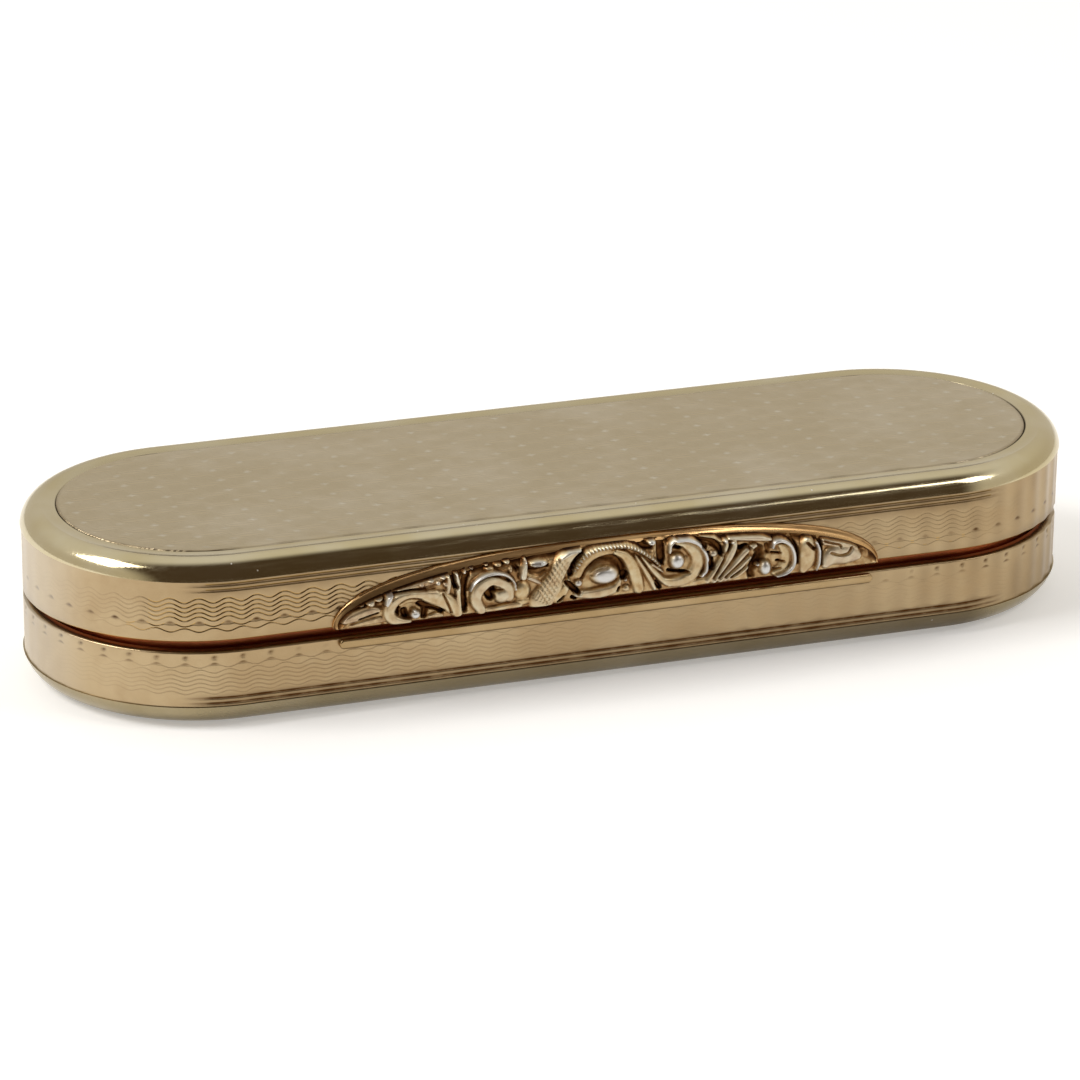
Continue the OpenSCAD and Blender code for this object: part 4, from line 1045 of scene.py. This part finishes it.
def spongePad(s):
    obj, grid = addGrid(s["columns"], s["rows"])
    x, y, inset = planGrid(grid, s["radius"])
    chance = np.random.default_rng(s["seed"])
    places = [chance.uniform(-reach, reach, s["pores"]) for reach in s["reach"]]
    sizes = chance.uniform(0, 1, s["pores"]) ** 2
    sink = np.zeros(len(x))
    for px, py, size in zip(*places, sizes):
        radius = s["smallest"] + (s["largest"] - s["smallest"]) * size
        near = np.flatnonzero((np.abs(x - px) < radius) & (np.abs(y - py) < radius))
        share = np.hypot(x[near] - px, y[near] - py) / radius
        sink[near] = np.maximum(sink[near], s["depth"] * (radius / s["largest"]) * np.clip(1 - share ** 4, 0, 1))
    rounded = (s["edge"] * np.clip(1 - inset / s["edge"], 0, 1) ** 2
               + s["crown"] * (1 - np.clip(inset / s["radius"], 0, 1)))
    setPoints(obj, np.stack([x, y, s["top"] - s["inset"] - rounded - sink], 1) * mm)
    setAttribute(obj, "pore", sink / s["depth"])
    return closeBack(obj, (1, 1, 0), (0, 0, (s["bottom"] + s["inset"]) * mm))


pad = finishPiece(spongePad(sponge), "spongePad", "base", spongeFibre, ["sponge"], angle=60)
print("sponge cut:", len(pad.data.polygons), "faces")


# CAD nodes that keep their own shape get their finish
nodeFinish = {
    "base_bezel": bezelGilt, "hinge_pin": pinSilver, "grille_pin": pinSilver,
    "hinge_plug_left": hingeGilt, "hinge_plug_right": hingeGilt,
    "grille_lug_left": hingeGilt, "grille_lug_right": hingeGilt, "grille_knuckle": hingeGilt,
}
for node, material in nodeFinish.items():
    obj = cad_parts[node]
    obj.data.materials.clear()
    obj.data.materials.append(material)
print("fittings finished")


# Studio: a white sheet that ends a little in front of the box, a pale room that is dark behind the camera,
# and a lamp on each side
studio = {
    "sheet": ((-0.6, -0.062), (0.6, 0.9)), "sheetColour": "#F4F3F1", "sheetGlow": 0.3,
    "roomTop": "#F2F0EA", "roomBack": "#DCD6CA", "roomDark": "#544636", "topSpan": (0.25, 0.8),
    # the dark part, by direction: axis, where it begins and where it is full
    "dark": [("X", -0.86, -0.62), ("X", 0.7, 0.42), ("Y", 0.34, -0.2)],
    # lamps: direction from the box, distance and size in metres, radiance
    "lamps": [((-0.685, 0.04, 0.727), 0.4, 0.18, 8.0), ((0.56, -0.42, 0.71), 0.4, 0.12, 5.2)],
}


def addSheet(s):
    clearSelection()
    bpy.ops.mesh.primitive_plane_add(size=1)
    sheet = bpy.context.active_object
    sheet.name = "whiteSheet"
    (x0, y0), (x1, y1) = s["sheet"]
    setPoints(sheet, [(x0 if p[0] < 0 else x1, y0 if p[1] < 0 else y1, 0) for p in getPoints(sheet)])
    material = bpy.data.materials.new("whiteSheet")
    material.use_nodes = True
    tree = material.node_tree
    tree.nodes.remove(tree.nodes["Principled BSDF"])
    add = partial(addNode, tree)
    rays = add("LightPath").outputs
    seen = add("Math", {0: rays["Is Camera Ray"], 1: rays["Is Glossy Ray"]}, operation="MAXIMUM")
    shown = add("Math", {0: seen, 1: rays["Is Transmission Ray"]}, operation="MAXIMUM")
    glow = add("Math", {0: shown, 1: s["sheetGlow"]}, operation="MULTIPLY")
    paint = add("BsdfDiffuse", {"Color": s["sheetColour"]})
    light = add("Emission", {"Strength": glow})
    both = add("AddShader", {0: paint, 1: light})
    setInputs(tree.nodes["Material Output"], {"Surface": both})
    sheet.data.materials.append(material)


def addRoom(s):
    world = bpy.data.worlds.new("studioRoom")
    bpy.context.scene.world = world
    world.use_nodes = True
    tree = world.node_tree
    add = partial(addNode, tree)
    way = add("SeparateXYZ", {"Vector": add("TexCoord").outputs["Generated"]}).outputs
    factors = []
    for axis, begin, full in [("Z", *s["topSpan"])] + s["dark"]:
        factors.append(add("MapRange", {"Value": way[axis], "From Min": begin, "From Max": full},
                           interpolation_type="SMOOTHSTEP"))
    behind = factors[1]
    for factor in factors[2:]:
        behind = add("Math", {0: factor, 1: behind}, operation="MULTIPLY")
    sky = add("Mix", {"Factor": factors[0], "A": s["roomBack"], "B": s["roomTop"]})
    room = add("Mix", {"Factor": behind, "A": sky, "B": s["roomDark"]})
    seen = add("LightPath").outputs["Is Camera Ray"]
    shown = add("Mix", {"Factor": seen, "A": room, "B": "#FFFFFF"})
    setInputs(tree.nodes["Background"], {"Color": shown, "Strength": 1.0})


def addLamps(s):
    for i, (direction, distance, size, radiance) in enumerate(s["lamps"]):
        name = "lamp%d" % (i + 1)
        data = bpy.data.lights.new(name, "AREA")
        data.shape = "SQUARE"
        data.size = size
        data.energy = radiance * math.pi * size ** 2
        lamp = bpy.data.objects.new(name, data)
        bpy.context.scene.collection.objects.link(lamp)
        place = Vector(direction).normalized() * distance
        lamp.location = place
        lamp.rotation_euler = (-place).to_track_quat("-Z", "Y").to_euler()


addSheet(studio)
addRoom(studio)
addLamps(studio)
bpy.context.scene.view_settings.view_transform = "Standard"
print("studio lit")
